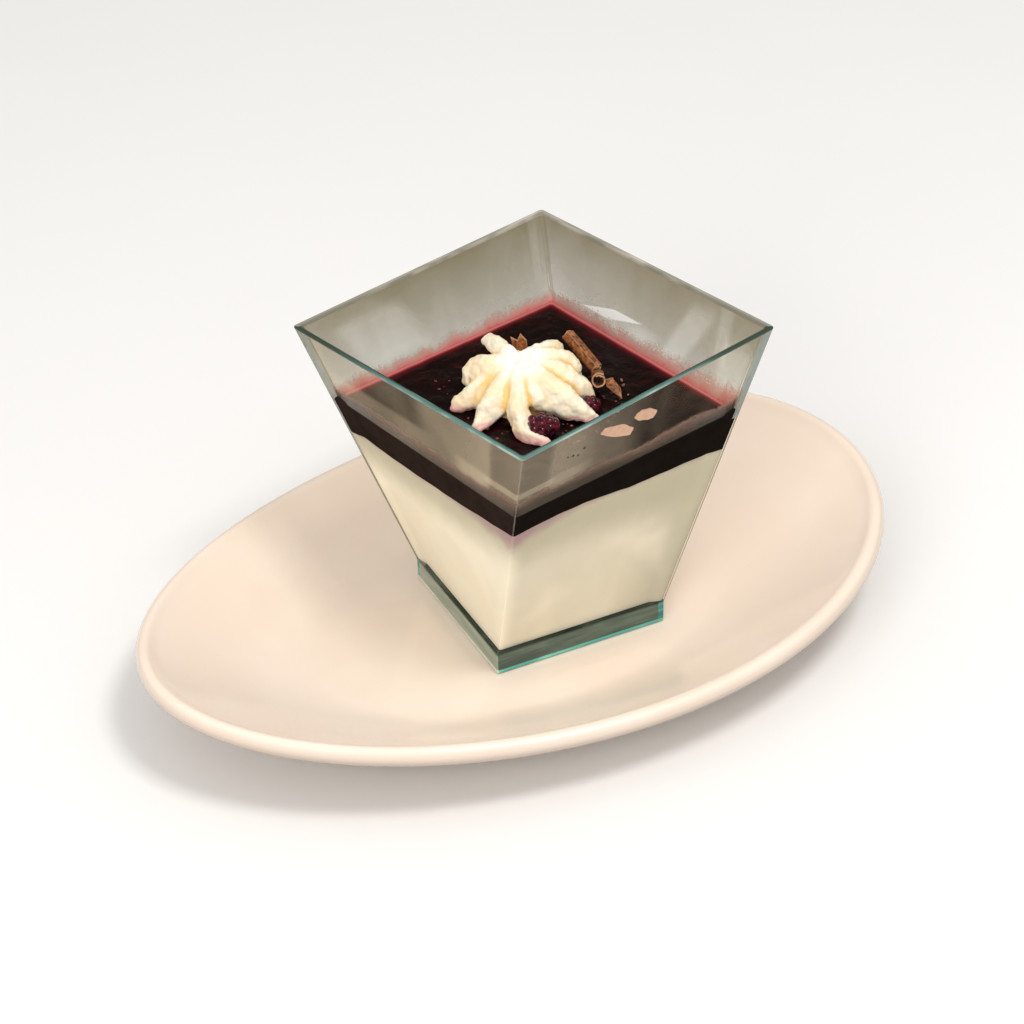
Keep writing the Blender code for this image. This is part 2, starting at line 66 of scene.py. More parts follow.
class Finish:
    """Node tree of one material, with a short call for each kind of node it uses."""

    def __init__(self, name: str) -> None:
        """Start an empty material.

        Args:
            name: the material's name.
        """
        self.material = bpy.data.materials.new(name)
        self.material.use_nodes = True
        self.tree = self.material.node_tree
        self.tree.nodes.clear()
        self.output = self.tree.nodes.new("ShaderNodeOutputMaterial")
        self.place = self.tree.nodes.new("ShaderNodeTexCoord").outputs["Object"]

    def add(self, kind: str, **inputs: object) -> bpy.types.Node:
        """Add a node and set or link its inputs.

        Args:
            kind: node type without the ShaderNode prefix.
            inputs: a socket to link or a value to set, by input name with _ for spaces.

        Returns:
            The new node.
        """
        node = self.tree.nodes.new("ShaderNode" + kind)
        for name, value in inputs.items():
            socket = node.inputs[name.replace("_", " ")]
            if isinstance(value, bpy.types.NodeSocket):
                self.tree.links.new(value, socket)
            elif isinstance(value, tuple) and len(value) == 3 and socket.type == "RGBA":
                socket.default_value = (*value, 1.0)
            else:
                socket.default_value = value
        return node

    def sum(self, kind: str, a: object, b: object = 0.0, clamp: bool = False) -> Socket:
        """Join two numbers with a Math node.

        Args:
            kind: the Math operation.
            a: first number or socket.
            b: second number or socket.
            clamp: keep the result from 0 to 1.

        Returns:
            The result's socket.
        """
        node = self.tree.nodes.new("ShaderNodeMath")
        node.operation = kind
        node.use_clamp = clamp
        for socket, value in zip(node.inputs, (a, b)):
            if isinstance(value, bpy.types.NodeSocket):
                self.tree.links.new(value, socket)
            else:
                socket.default_value = value
        return node.outputs[0]

    def noise(self, size: float, detail: float = 3.0, rough: float = 0.5, warp: float = 0.0,
              stretch: Optional[Colour] = None) -> Socket:
        """Soft random field from 0 to 1 in the piece's own space.

        Args:
            size: size of one blotch in metres.
            detail: number of finer octaves.
            rough: how strong the finer octaves are.
            warp: how much the field is drawn about.
            stretch: how much longer a blotch is along X, Y and Z.

        Returns:
            The field's socket.
        """
        place = self.place
        if stretch:
            scale = tuple(1.0 / s for s in stretch)
            place = self.add("Mapping", Vector=place, Scale=scale).outputs[0]
        node = self.add("TexNoise", Vector=place, Scale=1.0 / size, Detail=detail,
                        Roughness=rough, Distortion=warp)
        return node.outputs["Fac"]

    def cells(self, size: float, spread: float = 1.0) -> Socket:
        """Distance to the nearest of scattered points, in cell widths.

        Args:
            size: spacing of the points in metres.
            spread: how unevenly they lie.

        Returns:
            The distance's socket.
        """
        node = self.add("TexVoronoi", Vector=self.place, Scale=1.0 / size, Randomness=spread)
        return node.outputs["Distance"]

    def height(self) -> Socket:
        """Height above the table in metres, as a socket."""
        return self.add("SeparateXYZ", Vector=self.place).outputs["Z"]

    def painted(self, name: str) -> Socket:
        """A number painted on the mesh's points, as a socket."""
        node = self.tree.nodes.new("ShaderNodeAttribute")
        node.attribute_name = name
        return node.outputs["Fac"]

    def span(self, value: Socket, low: float, high: float, smooth: bool = True) -> Socket:
        """Share of the way from low to high, held from 0 to 1.

        Args:
            value: the number to place.
            low: where the share is 0.
            high: where the share is 1.
            smooth: ease at both ends.

        Returns:
            The share's socket.
        """
        node = self.add("MapRange", Value=value, From_Min=low, From_Max=high)
        node.interpolation_type = "SMOOTHSTEP" if smooth else "LINEAR"
        return node.outputs["Result"]

    def ramp(self, value: Socket, stops: Sequence[tuple[float, Colour]]) -> Socket:
        """Colour that runs through stops.

        Args:
            value: number from 0 to 1.
            stops: place and colour of each stop, in order.

        Returns:
            The colour's socket.
        """
        node = self.add("ValToRGB", Fac=value)
        band = node.color_ramp
        while len(band.elements) < len(stops):
            band.elements.new(1.0)
        for element, (place, colour) in zip(band.elements, stops):
            element.position = place
            element.color = (*colour, 1.0)
        return node.outputs["Color"]

    def blend(self, share: object, a: object, b: object) -> Socket:
        """Mix of two colours.

        Args:
            share: how much of the second there is.
            a: first colour or socket.
            b: second colour or socket.

        Returns:
            The mixed colour's socket.
        """
        node = self.tree.nodes.new("ShaderNodeMix")
        node.data_type = "RGBA"
        for socket, value in ((node.inputs[0], share), (node.inputs[6], a), (node.inputs[7], b)):
            if isinstance(value, bpy.types.NodeSocket):
                self.tree.links.new(value, socket)
            elif isinstance(value, tuple):
                socket.default_value = (*value, 1.0)
            else:
                socket.default_value = value
        return node.outputs[2]

    def relief(self, value: Socket, depth: float, strength: float = 1.0,
               over: Optional[Socket] = None) -> Socket:
        """Normal of a fine relief.

        Args:
            value: height field from 0 to 1.
            depth: height in metres that 1 stands for.
            strength: share of the relief that shows.
            over: normal of a coarser relief under it.

        Returns:
            The normal's socket.
        """
        node = self.add("Bump", Height=value, Distance=depth, Strength=strength)
        if over:
            self.tree.links.new(over, node.inputs["Normal"])
        return node.outputs["Normal"]

    def body(self, **inputs: object) -> Socket:
        """Principled shader with these inputs, as a socket."""
        return self.add("BsdfPrincipled", **inputs).outputs[0]

    def mixed(self, share: object, a: Socket, b: Socket) -> Socket:
        """Mix of two shaders.

        Args:
            share: how much of the second there is.
            a: first shader.
            b: second shader.

        Returns:
            The mixed shader's socket.
        """
        node = self.add("MixShader", Fac=share)
        self.tree.links.new(a, node.inputs[1])
        self.tree.links.new(b, node.inputs[2])
        return node.outputs[0]

    def done(self, shader: Socket) -> bpy.types.Material:
        """Send a shader to the output and return the material."""
        self.tree.links.new(shader, self.output.inputs["Surface"])
        return self.material


# ------------------------------------------------------------------ finishes

@dataclass(frozen=True)
class PlateGlaze:
    """Warm white glaze, glossy, with the faint waves and specks of fired glaze, and painted shade on the lip's
    outer side and on the underside.
    """

    light: Colour = (0.925, 0.800, 0.690)
    deep: Colour = (0.895, 0.755, 0.640)
    speck: Colour = (0.50, 0.36, 0.24)
    # painted shade: the darker tone laid on the lip's outer side and the underside
    under: Colour = (0.47, 0.375, 0.30)

    def material(self) -> bpy.types.Material:
        """Make the glaze."""
        f = Finish("plate_glaze")
        tone = f.noise(38 * MM, 3.0, 0.55)
        colour = f.blend(f.span(tone, 0.35, 0.65), self.light, self.deep)
        specks = f.span(f.cells(2.6 * MM), 0.035, 0.02)
        rare = f.span(f.noise(9 * MM, 1.0), 0.60, 0.66)
        colour = f.blend(f.sum("MULTIPLY", f.sum("MULTIPLY", specks, rare), 0.5), colour, self.speck)
        # painted shade on the lip's outer side and underside, by the painted number turned
        colour = f.blend(f.painted("turned"), colour, self.under)
        gloss = f.sum("MULTIPLY_ADD", f.noise(6 * MM, 2.0), 0.10)
        gloss.node.inputs[2].default_value = 0.16
        waves = f.relief(f.noise(4.5 * MM, 2.0, 0.4), 0.05 * MM, 0.35)
        return f.done(f.body(Base_Color=colour, Roughness=gloss, Normal=waves, Specular_IOR_Level=0.5,
                             Coat_Weight=0.35, Coat_Roughness=0.08, IOR=1.5))


@dataclass(frozen=True)
class BareRing:
    """Unglazed, ground face of the plate's foot ring."""

    colour: Colour = (0.66, 0.57, 0.47)

    def material(self) -> bpy.types.Material:
        """Make the bare clay."""
        f = Finish("bare_clay")
        grain = f.noise(0.5 * MM, 4.0, 0.7)
        colour = f.blend(grain, self.colour, (0.52, 0.43, 0.34))
        normal = f.relief(grain, 0.08 * MM, 0.6)
        return f.done(f.body(Base_Color=colour, Roughness=0.85, Normal=normal))


class Wall(Enum):
    """The cup's four walls, and the corner that follows each one."""

    BACK_RIGHT = 0
    BACK_LEFT = 1
    FRONT_LEFT = 2
    FRONT_RIGHT = 3

    @property
    def front(self) -> bool:
        """Whether the wall is one of the two front ones."""
        return self in (Wall.FRONT_LEFT, Wall.FRONT_RIGHT)


class Zone(Enum):
    """The bands of the cup's surface, from its hollow foot round to its inside."""

    RECESS = 0
    FOOT = 1
    BAND = 2
    SHOULDER = 3
    OUTSIDE = 4
    GLINT = 5
    RIM = 6
    LIP = 7
    INSIDE = 8


@dataclass(frozen=True)
class Gleam:
    """Soft-edged patch on a wall that is clearer or mistier than the rest, painted to stand in for reflections and
    streaks of light.

    The place runs along the wall from -1 to 1 and up it in millimetres over the table.
    """

    along: float
    height: float
    half_along: float
    half_height: float
    strength: float
    slant: float = 0.0
    soft: float = 0.45


@dataclass(frozen=True)
class WallMistAndLight:
    """How misty one wall is, and where, with the light painted into it: a lit veil on the front walls, a veil in
    shade on the back walls, and patches of painted reflection.
    """

    colour: Colour
    stops: tuple[tuple[float, float], ...]
    climb: float
    gleams: tuple[Gleam, ...]
    streaks: float
    glare: Optional[Gleam] = None


# Each wall's mist with its painted light: bright veils on the front walls, dark veils in shade on the back walls,
# patches of painted reflection, and on the back right wall a painted highlight where a window's reflection falls.
MISTS_AND_LIGHT: dict[Wall, WallMistAndLight] = {
    Wall.BACK_RIGHT: WallMistAndLight(
        (0.24, 0.20, 0.115), ((0.0, 0.71), (0.36, 0.74), (0.50, 0.75), (0.9, 0.76), (1.0, 0.72)), 0.019,
        (Gleam(-0.40, 68.5, 0.12, 9.0, -0.19, -0.015), Gleam(-0.72, 74.0, 0.06, 7.5, -0.12, 0.004),
         Gleam(-0.88, 67.0, 0.14, 6.0, -0.20), Gleam(0.02, 64.0, 0.16, 2.2, -0.16, -0.02, 0.8)), 0.10,
        Gleam(0.34, 64.9, 0.15, 1.6, 1.0, -0.12, 0.22)),
    Wall.BACK_LEFT: WallMistAndLight(
        (0.215, 0.185, 0.105), ((0.0, 0.74), (0.06, 0.79), (0.3, 0.80), (0.7, 0.78), (1.0, 0.68)), 0.019,
        (Gleam(0.47, 69.0, 0.30, 7.0, -0.15, 0.012, 0.35), Gleam(-0.93, 74.0, 0.04, 9.0, -0.07)), 0.10),
    Wall.FRONT_LEFT: WallMistAndLight(
        (0.95, 0.80, 0.62), ((0.0, 0.21), (0.30, 0.20), (0.45, 0.27), (0.60, 0.24), (0.76, 0.31),
                             (0.86, 0.36), (0.885, 0.20), (1.0, 0.23)), 0.0,
        (Gleam(-0.42, 73.8, 0.52, 5.6, -0.13, 0.0, 0.25), Gleam(0.88, 65.6, 0.20, 1.1, 0.18, 0.0, 0.5),
         Gleam(0.56, 65.0, 0.17, 2.4, 0.12, 0.0, 0.6)), 0.08),
    Wall.FRONT_RIGHT: WallMistAndLight(
        (0.95, 0.81, 0.66), ((0.0, 0.20), (0.105, 0.20), (0.13, 0.31), (0.23, 0.27), (0.33, 0.16),
                             (0.45, 0.12), (0.56, 0.045), (0.75, 0.03), (1.0, 0.03)), 0.0,
        (Gleam(-0.88, 65.8, 0.18, 1.1, 0.16, 0.0, 0.5), Gleam(-0.55, 65.6, 0.20, 1.6, 0.07, 0.0, 0.6)), 0.05),
}


@dataclass(frozen=True)
class CupPlastic:
    """Clear rigid plastic: polished outside, misty inside, sea-green at its edges, with painted light and shade on
    its inner veil, rim, corners and plinth.
    """

    through: Colour = (0.975, 0.968, 0.925)
    rim: Colour = (0.085, 0.185, 0.165)
    rim_light: Colour = (0.12, 0.225, 0.20)
    rim_far: Colour = (0.040, 0.062, 0.046)
    lip: Colour = (0.010, 0.030, 0.027)
    glint: Colour = (0.13, 0.21, 0.19)
    glint_light: Colour = (0.34, 0.43, 0.39)
    teal: Colour = (0.014, 0.15, 0.14)
    aqua_glow: Colour = (0.30, 0.78, 0.64)

    def coat(self, f: Finish, under: Socket, sheen: float = 1.0, rough: float = 0.03,
             start: float = 0.0) -> Socket:
        """Lay the polished surface's mirror over a shader.

        Args:
            f: the material being made.
            under: what shows between the reflections.
            sheen: strength of the reflections.
            rough: roughness of the reflections.
            start: slant from which there are any, 0 head on and 1 at a glance.

        Returns:
            The shader with its reflections.
        """
        mirror = f.add("BsdfGlossy", Color=(1.0, 1.0, 1.0), Roughness=rough).outputs[0]
        facing = f.add("LayerWeight", Blend=0.5).outputs["Facing"]
        if start:
            share = f.sum("MULTIPLY", f.sum("POWER", f.span(facing, start, 1.0, smooth=False), 3.0), sheen)
            return f.mixed(share, under, mirror)
        share = f.sum("MULTIPLY_ADD", f.sum("POWER", facing, 5.0), 0.96 * sheen)
        share.node.inputs[2].default_value = 0.04 * sheen
        return f.mixed(share, under, mirror)

    def outside(self) -> bpy.types.Material:
        """Make the polished outer face."""
        f = Finish("cup_outside")
        clear = f.add("BsdfTransparent", Color=self.through).outputs[0]
        return f.done(self.coat(f, clear, 0.5, start=0.70))

    def patch(self, f: Finish, gleam: Gleam, along: Socket, height: Socket) -> Socket:
        """Strength of one gleam at each place of its wall.

        Args:
            f: the material being made.
            gleam: the patch.
            along: place along the wall.
            height: height over the table.

        Returns:
            The strength's socket.
        """
        rise = f.sum("SUBTRACT", height, gleam.height * MM)
        lean = f.sum("MULTIPLY", rise, gleam.slant / MM)
        aside = f.sum("SUBTRACT", f.sum("SUBTRACT", along, gleam.along), lean)
        across = f.sum("ABSOLUTE", f.sum("DIVIDE", aside, gleam.half_along))
        upward = f.sum("ABSOLUTE", f.sum("DIVIDE", rise, gleam.half_height * MM))
        inside = f.sum("MULTIPLY", f.span(across, 1.0 + gleam.soft / 2, 1.0 - gleam.soft),
                       f.span(upward, 1.0 + gleam.soft / 2, 1.0 - gleam.soft))
        return f.sum("MULTIPLY", inside, gleam.strength)

    def inside(self, wall: Wall) -> bpy.types.Material:
        """Make the misty inner face of a wall, with its painted light and reflections.

        Args:
            wall: the wall.

        Returns:
            The material.
        """
        mist_and_light = MISTS_AND_LIGHT[wall]
        f = Finish("cup_inside_" + wall.name.lower())
        along, height = f.painted("along"), f.height()
        share = f.sum("MULTIPLY_ADD", along, 0.5)
        share.node.inputs[2].default_value = 0.5
        cover = f.ramp(share, [(place, (value,) * 3) for place, value in mist_and_light.stops])
        if mist_and_light.climb:
            rise = f.sum("SUBTRACT", height, 71.0 * MM)
            cover = f.sum("ADD", cover, f.sum("MULTIPLY", rise, mist_and_light.climb / MM))
        for gleam in mist_and_light.gleams:
            cover = f.sum("ADD", cover, self.patch(f, gleam, along, height))
        # streaks in the mist, partly painted streaky reflections
        streak = f.sum("SUBTRACT", f.noise(9 * MM, 3.0, 0.5, 0.6, (1.0, 1.0, 2.2)), 0.5)
        cover = f.sum("ADD", cover, f.sum("MULTIPLY", streak, 2 * mist_and_light.streaks), clamp=True)
        smear = f.noise(2.4 * MM, 3.0, 0.6)
        tint = tuple(0.86 * c for c in mist_and_light.colour)
        veil = f.body(Base_Color=f.blend(smear, tint, mist_and_light.colour), Roughness=0.6,
                      Specular_IOR_Level=0.0)
        clear = f.add("BsdfTransparent", Color=(1.0, 1.0, 1.0)).outputs[0]
        misty = f.mixed(cover, clear, veil)
        # painted highlight: a near-white patch where a window's reflection falls on the back right wall
        if mist_and_light.glare:
            shine = f.body(Base_Color=f.blend(smear, (0.97, 0.97, 0.95), (1.0, 1.0, 1.0)), Roughness=0.4)
            misty = f.mixed(self.patch(f, mist_and_light.glare, along, height), misty, shine)
        return f.done(self.coat(f, misty, 0.30, start=0.70 if wall.front else 0.0))

    def edge(self, name: str, colours: tuple[Colour, Colour], far: Colour, spread: float,
             gloss: float) -> bpy.types.Material:
        """Make one line of the rim, which darkens towards the far corners.

        Args:
            name: the material's name.
            colours: the line's two tones.
            far: tone near the outer corners.
            spread: size of the tones' patches.
            gloss: roughness.

        Returns:
            The material.
        """
        f = Finish(name)
        tone = f.span(f.noise(spread, 2.0, 0.55), 0.42, 0.66)
        colour = f.blend(tone, colours[0], colours[1])
        colour = f.blend(f.span(f.painted("away"), 0.95, 1.75), colour, far)
        return f.done(f.body(Base_Color=colour, Roughness=gloss, Specular_IOR_Level=0.3))

    def strip(self, name: str, colour: Colour, cover: float, sheen: float = 0.3) -> bpy.types.Material:
        """Make one of the upright corners: the plastic's own colour, with the bright and dark lines of the rounded
        corner painted in as light and shade.

        Args:
            name: the material's name.
            colour: its colour.
            cover: how much it hides.
            sheen: strength of its reflections.

        Returns:
            The material.
        """
        f = Finish(name)
        clear = f.add("BsdfTransparent", Color=self.through).outputs[0]
        tone = f.noise(3 * MM, 2.0, 0.5, 0.0, (1.0, 1.0, 3.0))
        veil = f.body(Base_Color=f.blend(tone, tuple(0.7 * c for c in colour), colour),
                      Roughness=0.3, Specular_IOR_Level=0.2)
        share = f.sum("MULTIPLY_ADD", tone, 0.3)
        share.node.inputs[2].default_value = cover - 0.15
        return f.done(self.coat(f, f.mixed(share, clear, veil), sheen, 0.05))

    def band(self, name: str, dark: Colour, light: Colour, cover: float) -> bpy.types.Material:
        """Make a band of the hollow plinth.

        Args:
            name: the material's name.
            dark: its darker tone.
            light: its lighter tone.
            cover: how much it hides.

        Returns:
            The material.
        """
        f = Finish(name)
        clear = f.add("BsdfTransparent", Color=self.through).outputs[0]
        tone = f.span(f.noise(5 * MM, 2.0, 0.5, 0.3, (2.6, 2.6, 0.35)), 0.36, 0.66)
        veil = f.body(Base_Color=f.blend(tone, dark, light), Roughness=0.25, Specular_IOR_Level=0.3)
        return f.done(self.coat(f, f.mixed(cover, clear, veil), 0.25, 0.06))

    def materials(self) -> dict[tuple[Zone, Wall], bpy.types.Material]:
        """Make the material of every band on every wall."""
        table: dict[tuple[Zone, Wall], bpy.types.Material] = {}
        outside = self.outside()
        # painted shade: the plinth's hollow, in grey-green, dark under the filled cup
        recess = self.band("cup_recess", (0.12, 0.17, 0.13), (0.30, 0.36, 0.29), 0.85)
        # Painted light on the rim: the glint lines are painted highlights on its outer rounding, and the rims are
        # painted teal and dark at the front, pale grey at the back.
        rims = {
            True: (self.edge("rim_glint_front", (self.glint, self.glint_light), self.rim_far, 9 * MM, 0.2),
                   self.edge("rim_face_front", (self.rim, self.rim_light), self.rim_far, 6 * MM, 0.25),
                   self.edge("rim_lip_front", (self.lip, self.rim), self.rim_far, 14 * MM, 0.3)),
            False: (self.edge("rim_glint_back", ((0.15, 0.15, 0.12), (0.24, 0.24, 0.20)),
                              (0.14, 0.14, 0.11), 11 * MM, 0.3),
                    self.edge("rim_face_back", ((0.30, 0.29, 0.23), (0.55, 0.50, 0.42)),
                              (0.30, 0.29, 0.23), 12 * MM, 0.3),
                    self.edge("rim_lip_back", ((0.22, 0.21, 0.17), (0.40, 0.37, 0.31)),
                              (0.20, 0.19, 0.15), 9 * MM, 0.3)),
        }
        # Lit and shaded copies: the left plinth bands are painted light, the right ones painted shade, and the
        # right foot edge carries a painted aqua glow of light.
        feet = {
            Wall.FRONT_LEFT: (self.band("foot_edge_left", (0.62, 0.70, 0.58), (0.80, 0.86, 0.74), 0.85),
                              self.band("foot_band_left", (0.31, 0.37, 0.29), (0.40, 0.45, 0.36), 0.80),
                              self.band("shoulder_left", (0.10, 0.14, 0.095), (0.17, 0.22, 0.15), 0.90)),
            Wall.FRONT_RIGHT: (self.band("foot_edge_right", (0.09, 0.42, 0.36), self.aqua_glow, 0.95),
                               self.band("foot_band_right", (0.060, 0.090, 0.068), (0.12, 0.16, 0.125), 0.9),
                               self.band("shoulder_right", (0.015, 0.045, 0.037), (0.05, 0.09, 0.07), 0.95)),
        }
        feet[Wall.BACK_RIGHT] = feet[Wall.FRONT_RIGHT]
        feet[Wall.BACK_LEFT] = feet[Wall.FRONT_LEFT]
        for wall in Wall:
            glint, face, lip = rims[wall.front]
            foot, band, shoulder = feet[wall]
            table.update({
                (Zone.RECESS, wall): recess, (Zone.FOOT, wall): foot, (Zone.BAND, wall): band,
                (Zone.SHOULDER, wall): shoulder, (Zone.OUTSIDE, wall): outside,
                (Zone.GLINT, wall): glint, (Zone.RIM, wall): face, (Zone.LIP, wall): lip,
                (Zone.INSIDE, wall): self.inside(wall),
            })
        return table

    def corners(self) -> dict[Wall, bpy.types.Material]:
        """Make the material of the corner that follows each wall."""
        # a pale painted line of light at the front corner, dark painted shade at the left and right ones, and a
        # grey line at the back one
        return {
            Wall.BACK_RIGHT: self.strip("corner_back", (0.42, 0.39, 0.33), 0.35),
            Wall.BACK_LEFT: self.strip("corner_left", (0.26, 0.28, 0.22), 0.72),
            Wall.FRONT_LEFT: self.strip("corner_front", (0.80, 0.72, 0.66), 0.12, 0.0),
            Wall.FRONT_RIGHT: self.strip("corner_right", (0.27, 0.32, 0.29), 0.72),
        }


@dataclass(frozen=True)
class SetCream:
    """Set cream of the panna cotta, tinted by the berries where they meet, with painted shade below the jelly and
    on its right face.
    """

    base: Colour = (0.875, 0.815, 0.705)
    pale: Colour = (0.91, 0.86, 0.755)
    # Painted shade: the first tone darkens the right face, the second the band just below the jelly.
    shade_side: Colour = (0.48, 0.46, 0.385)
    shade: Colour = (0.50, 0.465, 0.37)
    tint: Colour = (0.34, 0.20, 0.25)

    def material(self) -> bpy.types.Material:
        """Make the cream, tinted by the painted millimetres under the berries, with painted shade below them and
        on the right face.
        """
        f = Finish("set_cream")
        tone = f.span(f.noise(14 * MM, 3.0, 0.5, 0.6), 0.35, 0.68)
        colour = f.blend(tone, self.base, self.pale)
        drift = f.sum("MULTIPLY", f.noise(5 * MM, 3.0, 0.6), 3.0)
        depth = f.sum("ADD", f.painted("under"), drift)
        # painted shade on the right face, then painted shade below the jelly, reaching deeper on the right face
        shade_side = f.sum("MULTIPLY", f.painted("shade_side"), f.span(f.noise(22 * MM, 2.0), 0.20, 0.55))
        colour = f.blend(f.sum("MULTIPLY", shade_side, 1.0, clamp=True), colour, self.shade_side)
        shaded = f.sum("SUBTRACT", depth, f.sum("MULTIPLY", f.painted("shade_side"), 9.0))
        colour = f.blend(f.sum("MULTIPLY", f.span(shaded, 16.0, 3.0), 0.90), colour, self.shade)
        reach = f.sum("MULTIPLY_ADD", f.painted("corner"), 4.5)
        reach.node.inputs[2].default_value = 2.4
        stained = f.span(f.sum("DIVIDE", depth, reach), 1.25, 0.35)
        corner = f.sum("MULTIPLY", f.painted("corner"), 0.38)
        share = f.sum("MULTIPLY", stained, f.sum("ADD", corner, 0.42), clamp=True)
        colour = f.blend(share, colour, self.tint)
        fleck = f.span(f.cells(3.4 * MM), 0.05, 0.03)
        colour = f.blend(f.sum("MULTIPLY", fleck, 0.28), colour, (0.45, 0.33, 0.22))
        normal = f.relief(f.noise(1.6 * MM, 3.0, 0.5), 0.04 * MM, 0.4)
        return f.done(f.body(Base_Color=colour, Roughness=0.4, Normal=normal, Specular_IOR_Level=0.08,
                             Subsurface_Weight=0.25, Subsurface_Radius=(1.0, 0.8, 0.5),
                             Subsurface_Scale=2.0 * MM))


@dataclass(frozen=True)
class BerryJelly:
    """Nearly black berry jelly with a wet, slightly rough top."""

    dark: Colour = (0.0055, 0.0018, 0.0022)
    wine: Colour = (0.034, 0.0014, 0.0034)
    shore: Colour = (0.30, 0.020, 0.028)
    brink: Colour = (0.58, 0.17, 0.165)
    side: Colour = (0.0080, 0.0068, 0.0060)
    side_lit: Colour = (0.0270, 0.0180, 0.0155)

    def colour(self, f: Finish) -> Socket:
        """Nearly black, with wine patches and a crimson shore by the wall."""
        patches = f.span(f.noise(4.5 * MM, 4.0, 0.6, 0.5), 0.50, 0.78)
        colour = f.blend(f.sum("MULTIPLY", patches, 0.75), self.dark, self.wine)
        colour = f.blend(f.painted("shore"), colour, self.shore)
        return f.blend(f.span(f.painted("shore"), 0.35, 0.9), colour, self.brink)

    def pressed(self) -> bpy.types.Material:
        """Make the sides, which cling to the plastic and have no gloss of their own."""
        f = Finish("berry_jelly_side")
        colour = f.blend(f.painted("lit"), self.side, self.side_lit)
        patches = f.span(f.noise(4.5 * MM, 4.0, 0.6, 0.5), 0.35, 0.75)
        colour = f.blend(f.sum("MULTIPLY", patches, 0.35), colour, self.dark)
        grain = f.relief(f.noise(1.2 * MM, 4.0, 0.62), 0.05 * MM, 0.4)
        return f.done(f.body(Base_Color=colour, Roughness=0.8, Normal=grain, Specular_IOR_Level=0.0))

    def wet(self) -> bpy.types.Material:
        """Make the wet top."""
        f = Finish("berry_jelly_top")
        coarse = f.relief(f.noise(1.9 * MM, 4.0, 0.62), 0.34 * MM, 0.8)
        fine = f.relief(f.noise(0.42 * MM, 3.0, 0.6), 0.06 * MM, 0.6, coarse)
        rough = f.sum("MULTIPLY_ADD", f.noise(2.4 * MM, 3.0, 0.7), 0.34)
        rough.node.inputs[2].default_value = 0.02
        return f.done(f.body(Base_Color=self.colour(f), Roughness=rough, Normal=fine,
                             Coat_Weight=0.03, Coat_Roughness=0.08, Specular_IOR_Level=0.10))


@dataclass(frozen=True)
class JuiceStain:
    """Thin juice on the wall, dark at the jelly and fading above it.

    The number climb painted on its mesh is 0 where it is fully dark and 1 at its top.
    """

    def layer(self, name: str, grain: float, colours: Sequence[tuple[float, Colour]],
              covers: Sequence[tuple[float, float]]) -> bpy.types.Material:
        """Make one face of the stain.

        Args:
            name: the material's name.
            grain: how ragged the levels are.
            colours: colour at each share of the climb.
            covers: how much it hides at each share of the climb.

        Returns:
            The material.
        """
        f = Finish(name)
        fine = f.noise(0.75 * MM, 3.0, 0.7, 0.0, (1.0, 1.0, 2.0))
        broad = f.noise(5 * MM, 2.0, 0.5)
        ragged = f.sum("ADD", f.sum("MULTIPLY", f.sum("SUBTRACT", fine, 0.5), grain),
                       f.sum("MULTIPLY", f.sum("SUBTRACT", broad, 0.5), 0.5 * grain))
        reach = f.span(f.painted("climb"), 0.15, 0.75)
        level = f.sum("ADD", f.painted("climb"), f.sum("MULTIPLY", ragged, reach))
        cover = f.ramp(level, [(place, (value,) * 3) for place, value in covers])
        clear = f.add("BsdfTransparent", Color=(1.0, 1.0, 1.0)).outputs[0]
        juice = f.body(Base_Color=f.ramp(level, colours), Roughness=0.2, Specular_IOR_Level=0.3)
        return f.done(f.mixed(cover, clear, juice))

    def within(self) -> bpy.types.Material:
        """Make the face that looks into the cup, lit through by the pale wall."""
        return self.layer("juice_within", 0.55,
                          [(0.10, (0.07, 0.002, 0.004)), (0.25, (0.28, 0.022, 0.028)),
                           (0.42, (0.62, 0.140, 0.138)), (0.58, (0.74, 0.290, 0.260)),
                           (0.74, (0.80, 0.450, 0.390)), (1.0, (0.84, 0.60, 0.53))],
                          [(0.0, 1.0), (0.55, 0.82), (0.74, 0.52), (0.88, 0.20), (1.0, 0.0)])

    def without(self) -> bpy.types.Material:
        """Make the face that looks out through the wall: the juice painted brown in shade over the dark jelly."""
        return self.layer("juice_without", 0.35,
                          [(0.0, (0.006, 0.0035, 0.003)), (0.30, (0.055, 0.036, 0.032)),
                           (0.60, (0.11, 0.072, 0.062)), (1.0, (0.20, 0.14, 0.115))],
                          [(0.0, 1.0), (0.25, 0.97), (0.70, 0.70), (0.92, 0.35), (1.0, 0.0)])


